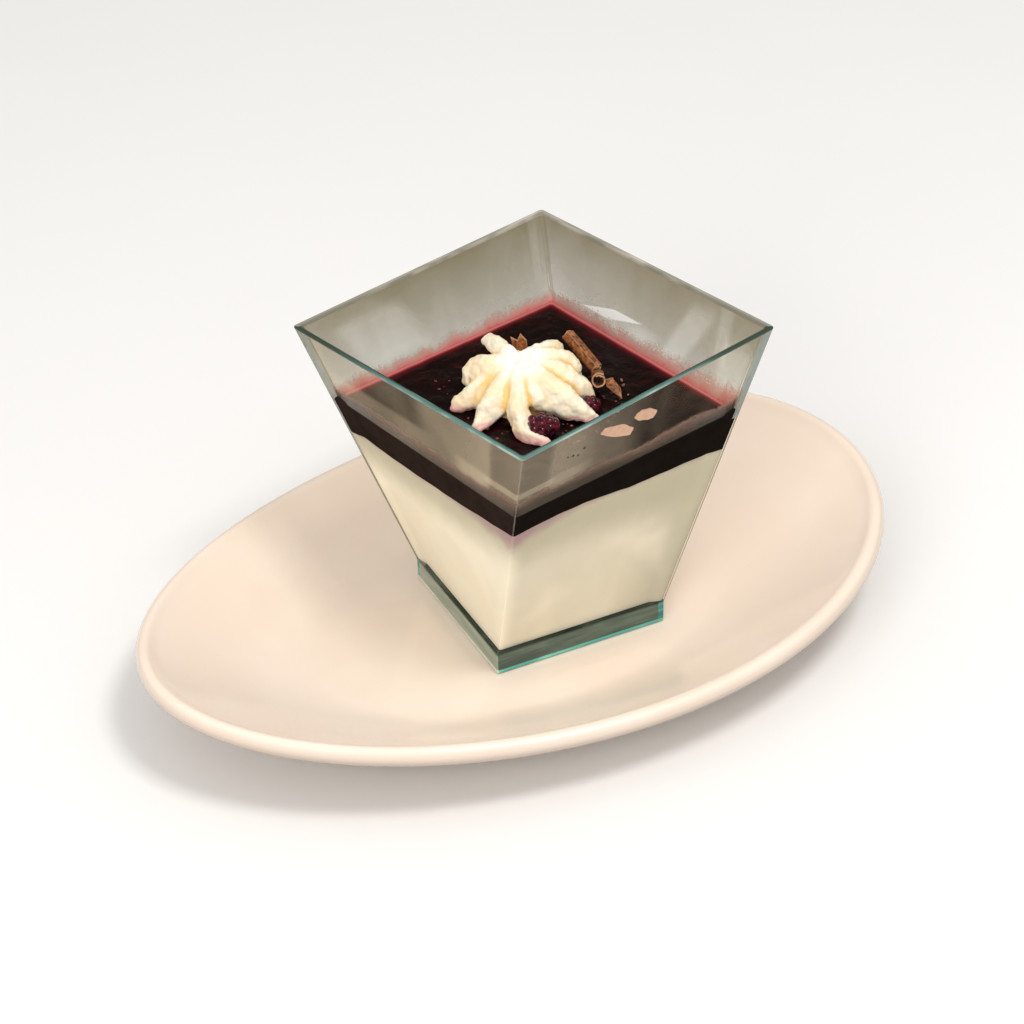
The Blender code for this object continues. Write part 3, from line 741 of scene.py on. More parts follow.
@dataclass(frozen=True)
class WhippedCream:
    """Ivory whipped cream, with yellow painted shade in its folds and low down, and a painted highlight on its
    crown.
    """

    # painted highlight: near-white light on the rosette's middle
    crown_light: Colour = (1.0, 0.98, 0.92)
    crest: Colour = (0.94, 0.85, 0.68)
    peach: Colour = (0.96, 0.76, 0.50)
    # painted shade: the ochre of the folds
    fold: Colour = (0.88, 0.57, 0.20)

    def material(self) -> bpy.types.Material:
        """Make the cream, with painted shade by the number hollow painted on its mesh and a painted highlight on
        its middle.
        """
        f = Finish("whipped_cream")
        hollow = f.sum("ADD", f.painted("hollow"), f.sum("MULTIPLY", f.noise(2.2 * MM, 2.0), 0.15))
        warm = f.span(f.noise(6 * MM, 2.0, 0.4), 0.38, 0.64)
        colour = f.blend(f.sum("MULTIPLY", warm, 0.85), self.crest, self.peach)
        # painted shade in the folds, then a painted highlight on the middle
        colour = f.blend(f.span(hollow, 0.17, 0.68), colour, self.fold)
        colour = f.blend(f.sum("MULTIPLY", f.span(f.painted("crown_light"), 0.0, 0.9), 0.85), colour, self.crown_light)
        blush = f.span(f.painted("blush"), 0.25, 1.0)
        colour = f.blend(f.sum("MULTIPLY", blush, 0.85), colour, (0.88, 0.48, 0.46))
        grain = f.relief(f.noise(0.55 * MM, 3.0, 0.6), 0.05 * MM, 0.5)
        return f.done(f.body(Base_Color=colour, Roughness=0.42, Normal=grain,
                             Subsurface_Weight=0.25, Subsurface_Radius=(1.0, 0.72, 0.38),
                             Subsurface_Scale=0.9 * MM))


@dataclass(frozen=True)
class MilkChocolate:
    """Shaved milk chocolate: streaked like bark, paler at its broken edges."""

    dark: Colour = (0.075, 0.020, 0.006)
    mid: Colour = (0.31, 0.105, 0.028)
    pale: Colour = (0.54, 0.25, 0.10)
    torn: Colour = (0.60, 0.34, 0.20)

    def material(self) -> bpy.types.Material:
        """Make the chocolate, which follows the number edge painted on its mesh."""
        f = Finish("milk_chocolate")
        streak = f.noise(0.9 * MM, 4.0, 0.65, 0.4)
        colour = f.ramp(streak, [(0.36, self.dark), (0.54, self.mid), (0.80, self.pale)])
        edge = f.sum("MULTIPLY", f.painted("edge"), 0.75, clamp=True)
        colour = f.blend(edge, colour, self.torn)
        normal = f.relief(f.noise(0.35 * MM, 4.0, 0.7), 0.07 * MM, 0.8)
        return f.done(f.body(Base_Color=colour, Roughness=0.42, Normal=normal,
                             Specular_IOR_Level=0.45, Subsurface_Weight=0.06,
                             Subsurface_Scale=0.5 * MM))


@dataclass(frozen=True)
class BerrySkin:
    """Wet skin of a crimson berry."""

    deep: Colour = (0.022, 0.0015, 0.007)
    bright: Colour = (0.15, 0.010, 0.026)

    def material(self) -> bpy.types.Material:
        """Make the skin."""
        f = Finish("berry_skin")
        tone = f.span(f.noise(1.5 * MM, 3.0, 0.6), 0.34, 0.70)
        colour = f.blend(tone, self.deep, self.bright)
        normal = f.relief(f.noise(0.4 * MM, 2.0), 0.03 * MM, 0.4)
        return f.done(f.body(Base_Color=colour, Roughness=0.22, Normal=normal, Coat_Weight=0.25,
                             Coat_Roughness=0.05, Subsurface_Weight=0.12,
                             Subsurface_Radius=(1.0, 0.25, 0.2), Subsurface_Scale=0.8 * MM))


@dataclass(frozen=True)
class Droplet:
    """Small bead of juice or foam."""

    name: str
    light: Colour
    dark: Colour
    clear: float
    gloss: float = 0.5

    def material(self) -> bpy.types.Material:
        """Make the bead."""
        f = Finish(self.name)
        tone = f.noise(0.9 * MM, 2.0)
        bead = f.body(Base_Color=f.blend(tone, self.dark, self.light), Roughness=0.12,
                      Specular_IOR_Level=self.gloss)
        see = f.add("BsdfTransparent", Color=(1.0, 0.94, 0.92)).outputs[0]
        return f.done(f.mixed(1.0 - self.clear, see, bead))


# ------------------------------------------------------------------ mesh building

def piece_from(name: str, points: np.ndarray, faces: Sequence[Sequence[int]], smooth: bool = True,
               sharp: float = 40.0) -> bpy.types.Object:
    """Make a piece from points and faces.

    Args:
        name: the piece's name.
        points: place of each point, in metres.
        faces: corner numbers of each face.
        smooth: shade it smooth.
        sharp: angle in degrees past which an edge stays sharp.

    Returns:
        The piece, linked to the scene.
    """
    mesh = bpy.data.meshes.new(name)
    mesh.from_pydata([tuple(p) for p in points], [], [tuple(f) for f in faces])
    mesh.validate()
    made = bpy.data.objects.new(name, mesh)
    bpy.context.scene.collection.objects.link(made)
    if smooth:
        mesh.shade_smooth()
        mesh.set_sharp_from_angle(angle=math.radians(sharp))
    return made


def outward(made: bpy.types.Object) -> None:
    """Turn a closed piece's normals outwards.

    Args:
        made: the piece.
    """
    bm = bmesh.new()
    bm.from_mesh(made.data)
    bmesh.ops.recalc_face_normals(bm, faces=bm.faces)
    bm.to_mesh(made.data)
    bm.free()


def ring_faces(rows: int, columns: int, close_rows: bool = False) -> list[tuple[int, ...]]:
    """Faces between successive closed rings of points.

    Args:
        rows: number of rings.
        columns: points in a ring.
        close_rows: join the last ring to the first.

    Returns:
        The faces' corner numbers, ring by ring.
    """
    faces = []
    for row in range(rows if close_rows else rows - 1):
        below, above = row * columns, (row + 1) % rows * columns
        for k in range(columns):
            after = (k + 1) % columns
            faces.append((below + k, below + after, above + after, above + k))
    return faces


def paint(made: bpy.types.Object, name: str, values: np.ndarray) -> None:
    """Store one number at each point of a piece.

    Args:
        made: the piece.
        name: the attribute's name.
        values: one number for each point.
    """
    layer = made.data.attributes.new(name, "FLOAT", "POINT")
    layer.data.foreach_set("value", np.asarray(values, np.float32))


def field_at(points: np.ndarray, size: float, seed: float = 0.0) -> np.ndarray:
    """Smooth random field from about -1 to 1 at points.

    Args:
        points: places in metres.
        size: size of one blotch in metres.
        seed: shift that makes another field.

    Returns:
        One value for each point.
    """
    shift = Vector((seed, 1.7 * seed, -0.6 * seed))
    return np.array([noise.noise(Vector(p) / size + shift) for p in points])


def dress(made: bpy.types.Object, slot: str, materials: Sequence[bpy.types.Material],
          *nodes: str) -> bpy.types.Object:
    """Give a piece its materials and the body it rides on, and hide the CAD nodes it stands for.

    Args:
        made: the piece.
        slot: the record's material slot, which is not used.
        materials: its materials, in order of their face numbers.
        nodes: CAD nodes that it stands for.

    Returns:
        The piece.
    """
    for material in materials:
        made.data.materials.append(material)
    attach(made, "root")
    if nodes:
        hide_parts(*nodes)
    log.info("%s: %d points, %d faces", made.name, len(made.data.vertices), len(made.data.polygons))
    return made


def frame_along(axis: Vector) -> Matrix:
    """Rotation that turns Z to an axis."""
    return Vector((0, 0, 1)).rotation_difference(axis.normalized()).to_matrix()


def smooth_line(knots: np.ndarray, count: int) -> np.ndarray:
    """Points along a smooth curve through knots, evenly spread between them.

    Args:
        knots: one row of numbers for each knot.
        count: number of points wanted.

    Returns:
        One row for each point.
    """
    spots = np.linspace(0.0, len(knots) - 1.0, count)
    padded = np.vstack([2 * knots[0] - knots[1], knots, 2 * knots[-1] - knots[-2]])
    rows = []
    for spot in spots:
        k = min(int(spot), len(knots) - 2)
        t = spot - k
        a, b, c, d = padded[k:k + 4]
        rows.append(0.5 * (2 * b + (c - a) * t + (2 * a - 5 * b + 4 * c - d) * t ** 2
                           + (3 * b - a - 3 * c + d) * t ** 3))
    return np.array(rows)


# ------------------------------------------------------------------ plate

@dataclass
class Plate:
    """Egg-shaped coupe plate with a round lip that climbs at both ends."""

    half_width: float = 62.6 * MM
    half_length: float = 92.5 * MM
    egg: float = 0.105
    lip_r: float = 2.3 * MM
    lip_z: float = 15.0 * MM
    lip_slope: float = math.radians(36)
    end_rise: float = 5.1 * MM
    well_z: float = 5.7 * MM
    well_r: float = 34.0 * MM
    thick: float = 3.9 * MM
    thicker: float = 0.3
    ring_r: float = 31.5 * MM
    ring_width: float = 3.2 * MM
    ring_edge: float = 0.5 * MM
    ring_flare: float = 0.9 * MM
    curve: float = 1.55
    columns: int = 288
    shaded: int = 44

    def rise(self, r: float) -> float:
        """Share of the climb from the well to the lip at a radius."""
        share = (r - self.well_r) / (self.half_width - self.lip_r - self.well_r)
        return max(share, 0.0) ** self.curve

    def floor_at(self, r: float) -> float:
        """Height of the upper surface at a radius."""
        climb = self.lip_z + self.lip_r * math.cos(self.lip_slope) - self.well_z
        start = self.half_width - self.lip_r * (1.0 + math.sin(self.lip_slope))
        return self.well_z + climb * self.rise(r) / self.rise(start)

    def profile(self) -> tuple[list[tuple[float, float]], int]:
        """Section of the round master, from the middle of the top to that of the underside.

        Returns:
            The section's points, and the number of the first one on the ring's bare face.
        """
        lip_r = self.half_width - self.lip_r
        start = lip_r - self.lip_r * math.sin(self.lip_slope)
        points = [(self.well_r * k / 10, self.well_z) for k in range(1, 10)]
        points += [(r, self.floor_at(r)) for r in np.linspace(self.well_r, start, 30)]
        for k in range(1, 20):
            turn = math.pi / 2 + self.lip_slope - (math.pi + self.lip_slope) * k / 20
            points.append((lip_r + self.lip_r * math.cos(turn), self.lip_z + self.lip_r * math.sin(turn)))
        ring_out = self.ring_r + self.ring_width / 2
        ring_in = self.ring_r - self.ring_width / 2
        under = self.well_z - self.thick
        outer, inner = lip_r - 0.8 * self.lip_r, ring_out + 2 * self.ring_flare
        for share in np.linspace(0.0, 0.93, 20):
            r = outer + (inner - outer) * share
            points.append((r, self.floor_at(r) - self.thick * (1.0 + self.thicker * share)))
        points += [(ring_out + self.ring_flare, under), (ring_out, self.ring_edge)]
        bare = len(points)
        points += [(ring_out - self.ring_edge, 0.0), (ring_in + self.ring_edge, 0.0)]
        points += [(ring_in, self.ring_edge), (ring_in - self.ring_flare, under)]
        points += [((ring_in - self.ring_flare) * k / 6, under) for k in range(5, 0, -1)]
        return points, bare

    def plan(self, r: float, z: float, turns: np.ndarray) -> np.ndarray:
        """Places of one ring of the plate, from a radius and height of the round master."""
        bend_r = self.half_width - 2 * self.lip_r
        stretch = (self.half_length - 2 * self.lip_r) / bend_r
        along = min(r, bend_r) * stretch + max(r - bend_r, 0.0)
        share = min(self.rise(r), 1.0)
        cosine, sine = np.cos(turns), np.sin(turns)
        egg = 1.0 + self.egg * cosine * r / self.half_width
        return np.stack([along * cosine, r * sine * egg, z + self.end_rise * share * cosine ** 2], 1)

    def build(self) -> bpy.types.Object:
        """Build the plate and dress it in glaze, with a bare foot ring."""
        points, bare = self.profile()
        turns = np.linspace(0, 2 * math.pi, self.columns, endpoint=False)
        rings = [self.plan(r, z, turns) for r, z in points]
        verts = np.vstack(rings + [[(0, 0, self.well_z)], [(0, 0, points[-1][1])]])
        faces = ring_faces(len(rings), self.columns)
        top, under = len(verts) - 2, len(verts) - 1
        last = (len(rings) - 1) * self.columns
        for k in range(self.columns):
            after = (k + 1) % self.columns
            faces.append((top, after, k))
            faces.append((under, last + k, last + after))
        plate = piece_from("oval_plate", verts, faces)
        outward(plate)
        # share of painted shade for each ring: 0 on the top up to just past the lip's crest, rising to 1 round its
        # outer side, and 1 on the underside
        turned = [np.clip((k - self.shaded) / 8.0, 0.0, 1.0) for k in range(len(rings))]
        paint(plate, "turned", np.append(np.repeat(turned, self.columns), (0.0, 1.0)))
        for k in range(self.columns):
            plate.data.polygons[bare * self.columns + k].material_index = 1
        return dress(plate, "porcelain", [PlateGlaze().material(), BareRing().material()], "plate")


# ------------------------------------------------------------------ cup

@dataclass
class TwistedSquare:
    """The cup's rounded square section, which turns and shrinks from the rim to the plinth."""

    centre_x: float
    base_z: float
    rim_side: float = 75.0 * MM
    foot_side: float = 42.8 * MM
    height: float = 73.8 * MM
    foot_height: float = 5.2 * MM
    twist: float = math.radians(-15.9)
    turn: float = math.radians(10.7)
    corner: float = 0.025
    per_wall: int = 40
    per_corner: int = 8

    def section(self, z: np.ndarray) -> tuple[np.ndarray, np.ndarray]:
        """Half side and turn of the section at heights above the underside.

        Args:
            z: heights in metres.

        Returns:
            Half sides, and turns in radians.
        """
        share = np.minimum((self.height - z) / (self.height - self.foot_height), 1.0)
        x = self.rim_side / 2 * (1 - share) + math.cos(self.twist) * self.foot_side / 2 * share
        y = math.sin(self.twist) * self.foot_side / 2 * share
        return np.hypot(x, y), np.arctan2(y, x) + self.turn

    def outline(self) -> tuple[np.ndarray, np.ndarray, np.ndarray]:
        """Unit section with round corners.

        Returns:
            Its points, the wall that each belongs to, and the place along that wall from
            -1 to 1.
        """
        flat = 1.0 - self.corner
        points, walls, along = [], [], []
        for wall in range(4):
            normal = np.array([math.cos(wall * math.pi / 2), math.sin(wall * math.pi / 2)])
            side = np.array([-normal[1], normal[0]])
            for t in np.linspace(-flat, flat, self.per_wall + 1):
                points.append(normal + side * t)
                walls.append(wall)
                along.append(t / flat)
            for k in range(1, self.per_corner):
                angle = math.pi / 2 * k / self.per_corner
                points.append(normal * (flat + self.corner * math.cos(angle))
                              + side * (flat + self.corner * math.sin(angle)))
                walls.append(wall if 2 * k <= self.per_corner else (wall + 1) % 4)
                along.append(1.0 if 2 * k <= self.per_corner else -1.0)
        return np.array(points), np.array(walls), np.array(along)

    def away(self, walls: np.ndarray, along: np.ndarray) -> np.ndarray:
        """Way from the front or back corner, 0 there and 2 at the left or right one."""
        return np.where(walls % 2 == 0, 1.0 - along, 1.0 + along)

    def place(self, unit: np.ndarray, z: np.ndarray, inset: object) -> np.ndarray:
        """Put points of the unit section at heights above the underside.

        Args:
            unit: points of the unit section.
            z: one height for each, or one for all.
            inset: distance in from the outer face.

        Returns:
            Places in the part's frame.
        """
        z = np.broadcast_to(np.asarray(z, float), (len(unit),))
        half, turn = self.section(z)
        flat = unit * np.broadcast_to(half - inset, (len(unit),))[:, None]
        cosine, sine = np.cos(turn), np.sin(turn)
        x = self.centre_x + flat[:, 0] * cosine - flat[:, 1] * sine
        y = flat[:, 0] * sine + flat[:, 1] * cosine
        return np.stack([x, y, z + self.base_z], 1)

    def spot(self, wall: int, along: float, z: float, inset: float) -> Vector:
        """One place on a wall, from its place along the wall and its height."""
        normal = np.array([math.cos(wall * math.pi / 2), math.sin(wall * math.pi / 2)])
        unit = normal + np.array([-normal[1], normal[0]]) * along
        return Vector(self.place(unit[None, :], np.array([z]), inset)[0])


@dataclass
class Cup:
    """Clear cup with a thin rim and a short hollow plinth."""

    form: TwistedSquare
    wall: float = 1.3 * MM
    floor_z: float = 5.7 * MM
    recess: float = 3.6 * MM
    edge: float = 0.28 * MM
    foot_line: float = 0.9 * MM
    shoulder: tuple[float, float] = (4.95 * MM, 5.4 * MM)
    glint: float = 0.42 * MM
    lip: float = 0.40 * MM
    edge_on: float = 1.94
    strip_from: float = 52.2 * MM
    levels: int = 40

    def rings(self) -> list[tuple[float, float, Zone]]:
        """Height and inset of every ring, and the band that starts at it.

        Returns:
            The rings from the plinth's hollow, round the outside and down the inside.
        """
        top, edge = self.form.height, self.edge
        rings = [(self.recess, self.wall, Zone.RECESS), (self.recess / 2, self.wall, Zone.RECESS)]
        rings += [(0.0, self.wall, Zone.FOOT), (0.0, 0.15 * MM, Zone.FOOT)]
        rings += [(0.15 * MM, 0.0, Zone.FOOT), (self.foot_line, 0.0, Zone.BAND)]
        rings += [(self.foot_line + 1.8 * MM, 0.0, Zone.BAND), (self.shoulder[0], 0.0, Zone.SHOULDER)]
        for z in np.linspace(self.shoulder[1], top - self.glint, self.levels):
            rings.append((float(z), 0.0, Zone.OUTSIDE))
        rings[-1] = (top - self.glint, 0.0, Zone.GLINT)
        rings.append((top - edge, 0.0, Zone.GLINT))
        for k in range(1, 4):
            turn = math.pi / 2 * k / 3
            rings.append((top - edge * (1 - math.sin(turn)), edge * (1 - math.cos(turn)), Zone.GLINT))
        rings[-1] = (top, edge, Zone.RIM)
        rings.append((top, self.wall - self.lip, Zone.LIP))
        rings.append((top, self.wall - edge / 2, Zone.LIP))
        rings.append((top - edge / 2, self.wall, Zone.LIP))
        rings.append((top - 2 * edge, self.wall, Zone.INSIDE))
        for z in np.linspace(top - 1.5 * MM, self.floor_z, self.levels):
            rings.append((float(z), self.wall, Zone.INSIDE))
        return rings

    def build(self) -> bpy.types.Object:
        """Build the cup and dress each band of each wall."""
        unit, walls, along = self.form.outline()
        columns, per_side = len(unit), self.form.per_wall + self.form.per_corner
        away = self.form.away(walls, along)
        rings = self.rings()
        verts = np.vstack([self.form.place(unit, z, inset) for z, inset, _ in rings])
        finishes, corners = CupPlastic().materials(), CupPlastic().corners()
        teal = CupPlastic().band("foot_corner", CupPlastic.teal, (0.10, 0.40, 0.37), 0.95)
        materials: list[bpy.types.Material] = []
        kinds = []
        for _, _, zone in rings[:-1]:
            for k in range(columns):
                beside = away[k] > self.edge_on and away[(k + 1) % columns] > self.edge_on
                high = rings[len(kinds) // columns][0] > self.strip_from
                turned = k % per_side - self.form.per_wall
                if k // per_side == Wall.FRONT_LEFT.value:
                    on_corner = turned in (3, 4)
                else:
                    on_corner = turned >= 0 or (beside and high)
                if on_corner and zone is Zone.OUTSIDE:
                    finish = corners[Wall((k - 1) // per_side % 4)]
                elif beside and zone in (Zone.BAND, Zone.SHOULDER) and k // per_side != 1:
                    finish = teal
                else:
                    finish = finishes[zone, Wall(int(walls[k]))]
                if finish not in materials:
                    materials.append(finish)
                kinds.append(materials.index(finish))
        faces = ring_faces(len(rings), columns)
        faces.append(tuple(range(columns)))
        kinds.append(0)
        last = (len(rings) - 1) * columns
        faces.append(tuple(range(last + columns - 1, last - 1, -1)))
        kinds.append(kinds[-2])
        cup = piece_from("clear_cup", verts, faces, sharp=30.0)
        cup.data.polygons.foreach_set("material_index", kinds)
        outward(cup)
        paint(cup, "along", np.tile(along, len(rings)))
        paint(cup, "away", np.tile(away, len(rings)))
        return dress(cup, "clear_plastic", materials, "cup")


# ------------------------------------------------------------------ fillings

@dataclass
class Fillings:
    """The two layers in the cup, and the juice on its wall above them."""

    form: TwistedSquare
    wall: float = 1.3 * MM
    bite: float = 0.12 * MM
    floor_z: float = 5.7 * MM
    panna_top: float = 44.8 * MM
    berry_top: float = 53.6 * MM
    wave: float = 0.45 * MM
    meniscus: float = 0.55 * MM
    skin: float = 0.35 * MM
    drips: float = 0.16
    swell: dict[Wall, tuple[tuple[float, float], ...]] = field(default_factory=lambda: {
        Wall.BACK_RIGHT: ((-1.0, -0.4), (1.0, 0.0)),
        Wall.BACK_LEFT: ((-1.0, 0.0), (1.0, -0.8)),
        Wall.FRONT_LEFT: ((-1.0, -0.8), (-0.2, -0.5), (0.4, 0.3), (1.0, 2.0)),
        Wall.FRONT_RIGHT: ((-1.0, 2.0), (-0.6, 2.7), (-0.35, 2.2), (0.1, 0.3), (1.0, -0.4)),
    })
    tide: dict[Wall, tuple[tuple[float, float, float], ...]] = field(default_factory=lambda: {
        Wall.BACK_RIGHT: ((-1.0, 49.0, 59.8), (-0.75, 49.6, 58.8), (-0.4, 50.0, 57.9), (0.3, 50.4, 57.4),
                          (1.0, 51.2, 56.9)),
        Wall.BACK_LEFT: ((-1.0, 51.2, 56.6), (0.0, 51.2, 56.8), (0.9, 51.4, 56.8), (1.0, 52.2, 56.9)),
        Wall.FRONT_LEFT: ((-1.0, 53.6, 57.2), (-0.8, 53.5, 57.8), (-0.43, 53.5, 58.5), (-0.1, 53.8, 57.6),
                          (0.2, 53.6, 58.5), (0.52, 53.6, 56.7), (0.85, 53.4, 58.6), (1.0, 54.4, 58.4)),
        Wall.FRONT_RIGHT: ((-1.0, 54.8, 58.4), (-0.83, 55.3, 58.6), (-0.62, 55.5, 57.3), (-0.28, 54.9, 58.3),
                           (0.1, 53.8, 57.0), (0.43, 53.5, 58.3), (0.75, 53.5, 57.4), (1.0, 53.8, 57.2)),
    })
    levels: int = 30
    rounds: int = 74

    def seam(self) -> np.ndarray:
        """Height of the uneven line between the layers, all round the section."""
        unit, walls, along = self.form.outline()
        flat = np.column_stack([unit, np.zeros(len(unit))])
        swell = np.array([np.interp(u, *zip(*self.swell[Wall(int(w))])) for w, u in zip(walls, along)])
        waves = field_at(flat, 0.55, 3.1) + 0.45 * field_at(flat, 0.16, 8.4)
        return self.panna_top + swell * MM + self.wave * waves

    def inset(self) -> np.ndarray:
        """How far in from the outer face each point of a filling lies.

        It is just inside the wall's inner face, and closer to the outer one at the side
        corners, where the thick plastic draws the filling out to its edge.
        """
        _, walls, along = self.form.outline()
        share = np.clip((self.form.away(walls, along) - 1.90) / 0.08, 0.0, 1.0)
        return (self.wall - self.bite) * (1.0 - share) + self.skin * share

    def cap(self, unit: np.ndarray, z: np.ndarray, inset: np.ndarray, rounds: int) -> list[np.ndarray]:
        """Rings that close a filling's top, shrinking to its middle.

        Args:
            unit: the unit section.
            z: height of each point of the outermost ring.
            inset: distance in from the cup's outer face, one for each point.
            rounds: number of rings.

        Returns:
            The rings' points, the last one very small.
        """
        rings = []
        for k in range(1, rounds):
            share = 1.0 - k / rounds
            level = z * share + float(np.mean(z)) * (1.0 - share)
            rings.append(self.form.place(unit * share, level, inset))
        return rings

    def panna(self) -> bpy.types.Object:
        """Build the set cream, which reaches just into the cup's wall."""
        unit, walls, along = self.form.outline()
        inset = self.inset()
        seam = self.seam()
        low = self.floor_z - self.bite
        rings = self.cap(unit, np.full(len(unit), low), inset, 4)[::-1]
        for k in range(self.levels + 1):
            rings.append(self.form.place(unit, low + (seam - low) * k / self.levels, inset))
        lid = self.cap(unit, seam, inset, 6)
        rings += lid
        count = len(unit)
        faces = ring_faces(len(rings), count)
        faces.append(tuple(range(count - 1, -1, -1)))
        faces.append(tuple(range((len(rings) - 1) * count, len(rings) * count)))
        made = piece_from("panna_cotta", np.vstack(rings), faces, sharp=50.0)
        outward(made)
        near = np.where(walls >= Wall.FRONT_LEFT.value, self.form.away(walls, along), 2.0)
        # share of painted shade on the right face, strongest at its right corner
        shade_side = np.interp(near, (0.0, 0.12, 1.3, 2.0), (0.0, 0.36, 0.36, 1.0)) * (walls == Wall.FRONT_RIGHT.value)
        paint(made, "shade_side", np.tile(shade_side, len(rings)))
        paint(made, "corner", np.tile(np.clip(1.0 - near / 0.75, 0.0, 1.0), len(rings)))
        rise = (seam - low)[None, :] * np.array([k / self.levels for k in range(self.levels + 1)])[:, None]
        under = np.concatenate([np.full(3 * count, 40.0), ((seam - low)[None, :] - rise).ravel() / MM,
                                np.zeros(len(lid) * count)])
        paint(made, "under", under)
        finish = SetCream().material()
        return dress(made, "panna", [finish], "panna_cotta_layer")

    def jelly(self) -> bpy.types.Object:
        """Build the berry jelly, with an uneven top that creeps up the wall."""
        unit, walls, _ = self.form.outline()
        inset = self.inset()
        count = len(unit)
        seam = self.seam() + 0.02 * MM
        edge = np.full(count, self.berry_top + self.meniscus)
        rings = self.cap(unit, seam, inset, 6)[::-1]
        for k in range(13):
            share = max(0.0, k - 11.0)
            level = inset * (1.0 - share) + (self.wall - self.bite) * share
            rings.append(self.form.place(unit, seam + (edge - seam) * k / 12, level))
        half = float(self.form.section(np.array([self.berry_top]))[0][0])
        shore = [np.zeros(count)] * len(rings)
        creep = np.where(walls >= Wall.FRONT_LEFT.value, 0.4, 1.0)
        sides = (len(rings) - 1) * count
        for k in range(1, self.rounds):
            share = (1.0 - k / self.rounds) ** 0.82
            depth = half * (1.0 - share)
            ring = self.form.place(unit * share, self.berry_top, self.wall - self.bite)
            lumps = 0.22 * field_at(ring, 3.6 * MM, 5.0) + 0.13 * field_at(ring, 1.5 * MM, 9.0)
            ring[:, 2] += lumps * MM * min(1.0, depth / (2 * MM))
            ring[:, 2] += self.meniscus * math.exp(-depth / (0.7 * MM))
            rings.append(ring)
            shore.append(creep * math.exp(-(depth / (1.15 * MM)) ** 1.6))
        faces = ring_faces(len(rings), count)
        faces.append(tuple(range(count - 1, -1, -1)))
        faces.append(tuple(range((len(rings) - 1) * count, len(rings) * count)))
        made = piece_from("berry_jelly", np.vstack(rings), faces, sharp=60.0)
        outward(made)
        paint(made, "shore", np.concatenate(shore))
        paint(made, "lit", np.tile(np.where(walls == Wall.FRONT_LEFT.value, 1.0, 0.15), len(rings)))
        made.data.polygons.foreach_set("material_index", [int(k >= sides) for k in range(len(faces))])
        return dress(made, "berry_jelly", [BerryJelly().pressed(), BerryJelly().wet()], "berry_layer")

    def stain(self) -> bpy.types.Object:
        """Build the thin film of juice left on the wall, from the jelly up to its tide mark."""
        unit, walls, along = self.form.outline()
        count = len(unit)
        flat = np.column_stack([unit, np.zeros(count)])
        marks = [np.array(self.tide[Wall(int(w))]) * (1.0, MM, MM) for w in walls]
        dark = np.array([np.interp(u, m[:, 0], m[:, 1]) for u, m in zip(along, marks)])
        top = np.array([np.interp(u, m[:, 0], m[:, 2]) for u, m in zip(along, marks)])
        ragged = self.drips * (field_at(flat, 0.09, 2.0) + 0.8 * field_at(flat, 0.035, 6.0))
        top = top + ragged * (top - dark)
        start, steps = self.berry_top - 0.2 * MM, 18
        rings, climbs = [], []
        for side in (1, -1):
            for k in range(steps + 1)[::side]:
                share = k / steps
                thick = 0.16 * MM * (1.0 - share) + 0.04 * MM
                level = start + (top - start) * share
                inset = self.wall + thick if side > 0 else self.wall - 1.5 * self.bite
                rings.append(self.form.place(unit, level, inset))
                climbs.append(np.clip((level - dark) / (top - dark), 0.0, 1.0))
        faces = ring_faces(len(rings), count, close_rows=True)
        made = piece_from("juice_stain", np.vstack(rings), faces)
        outward(made)
        outer = [int(k // count >= steps and walls[k % count] >= Wall.FRONT_LEFT.value)
                 for k in range(len(faces))]
        made.data.polygons.foreach_set("material_index", outer)
        paint(made, "climb", np.concatenate(climbs))
        return dress(made, "berry_jelly", [JuiceStain().within(), JuiceStain().without()])

    def build(self) -> None:
        """Build both layers and the stain."""
        self.panna()
        self.jelly()
        self.stain()


# ------------------------------------------------------------------ beads

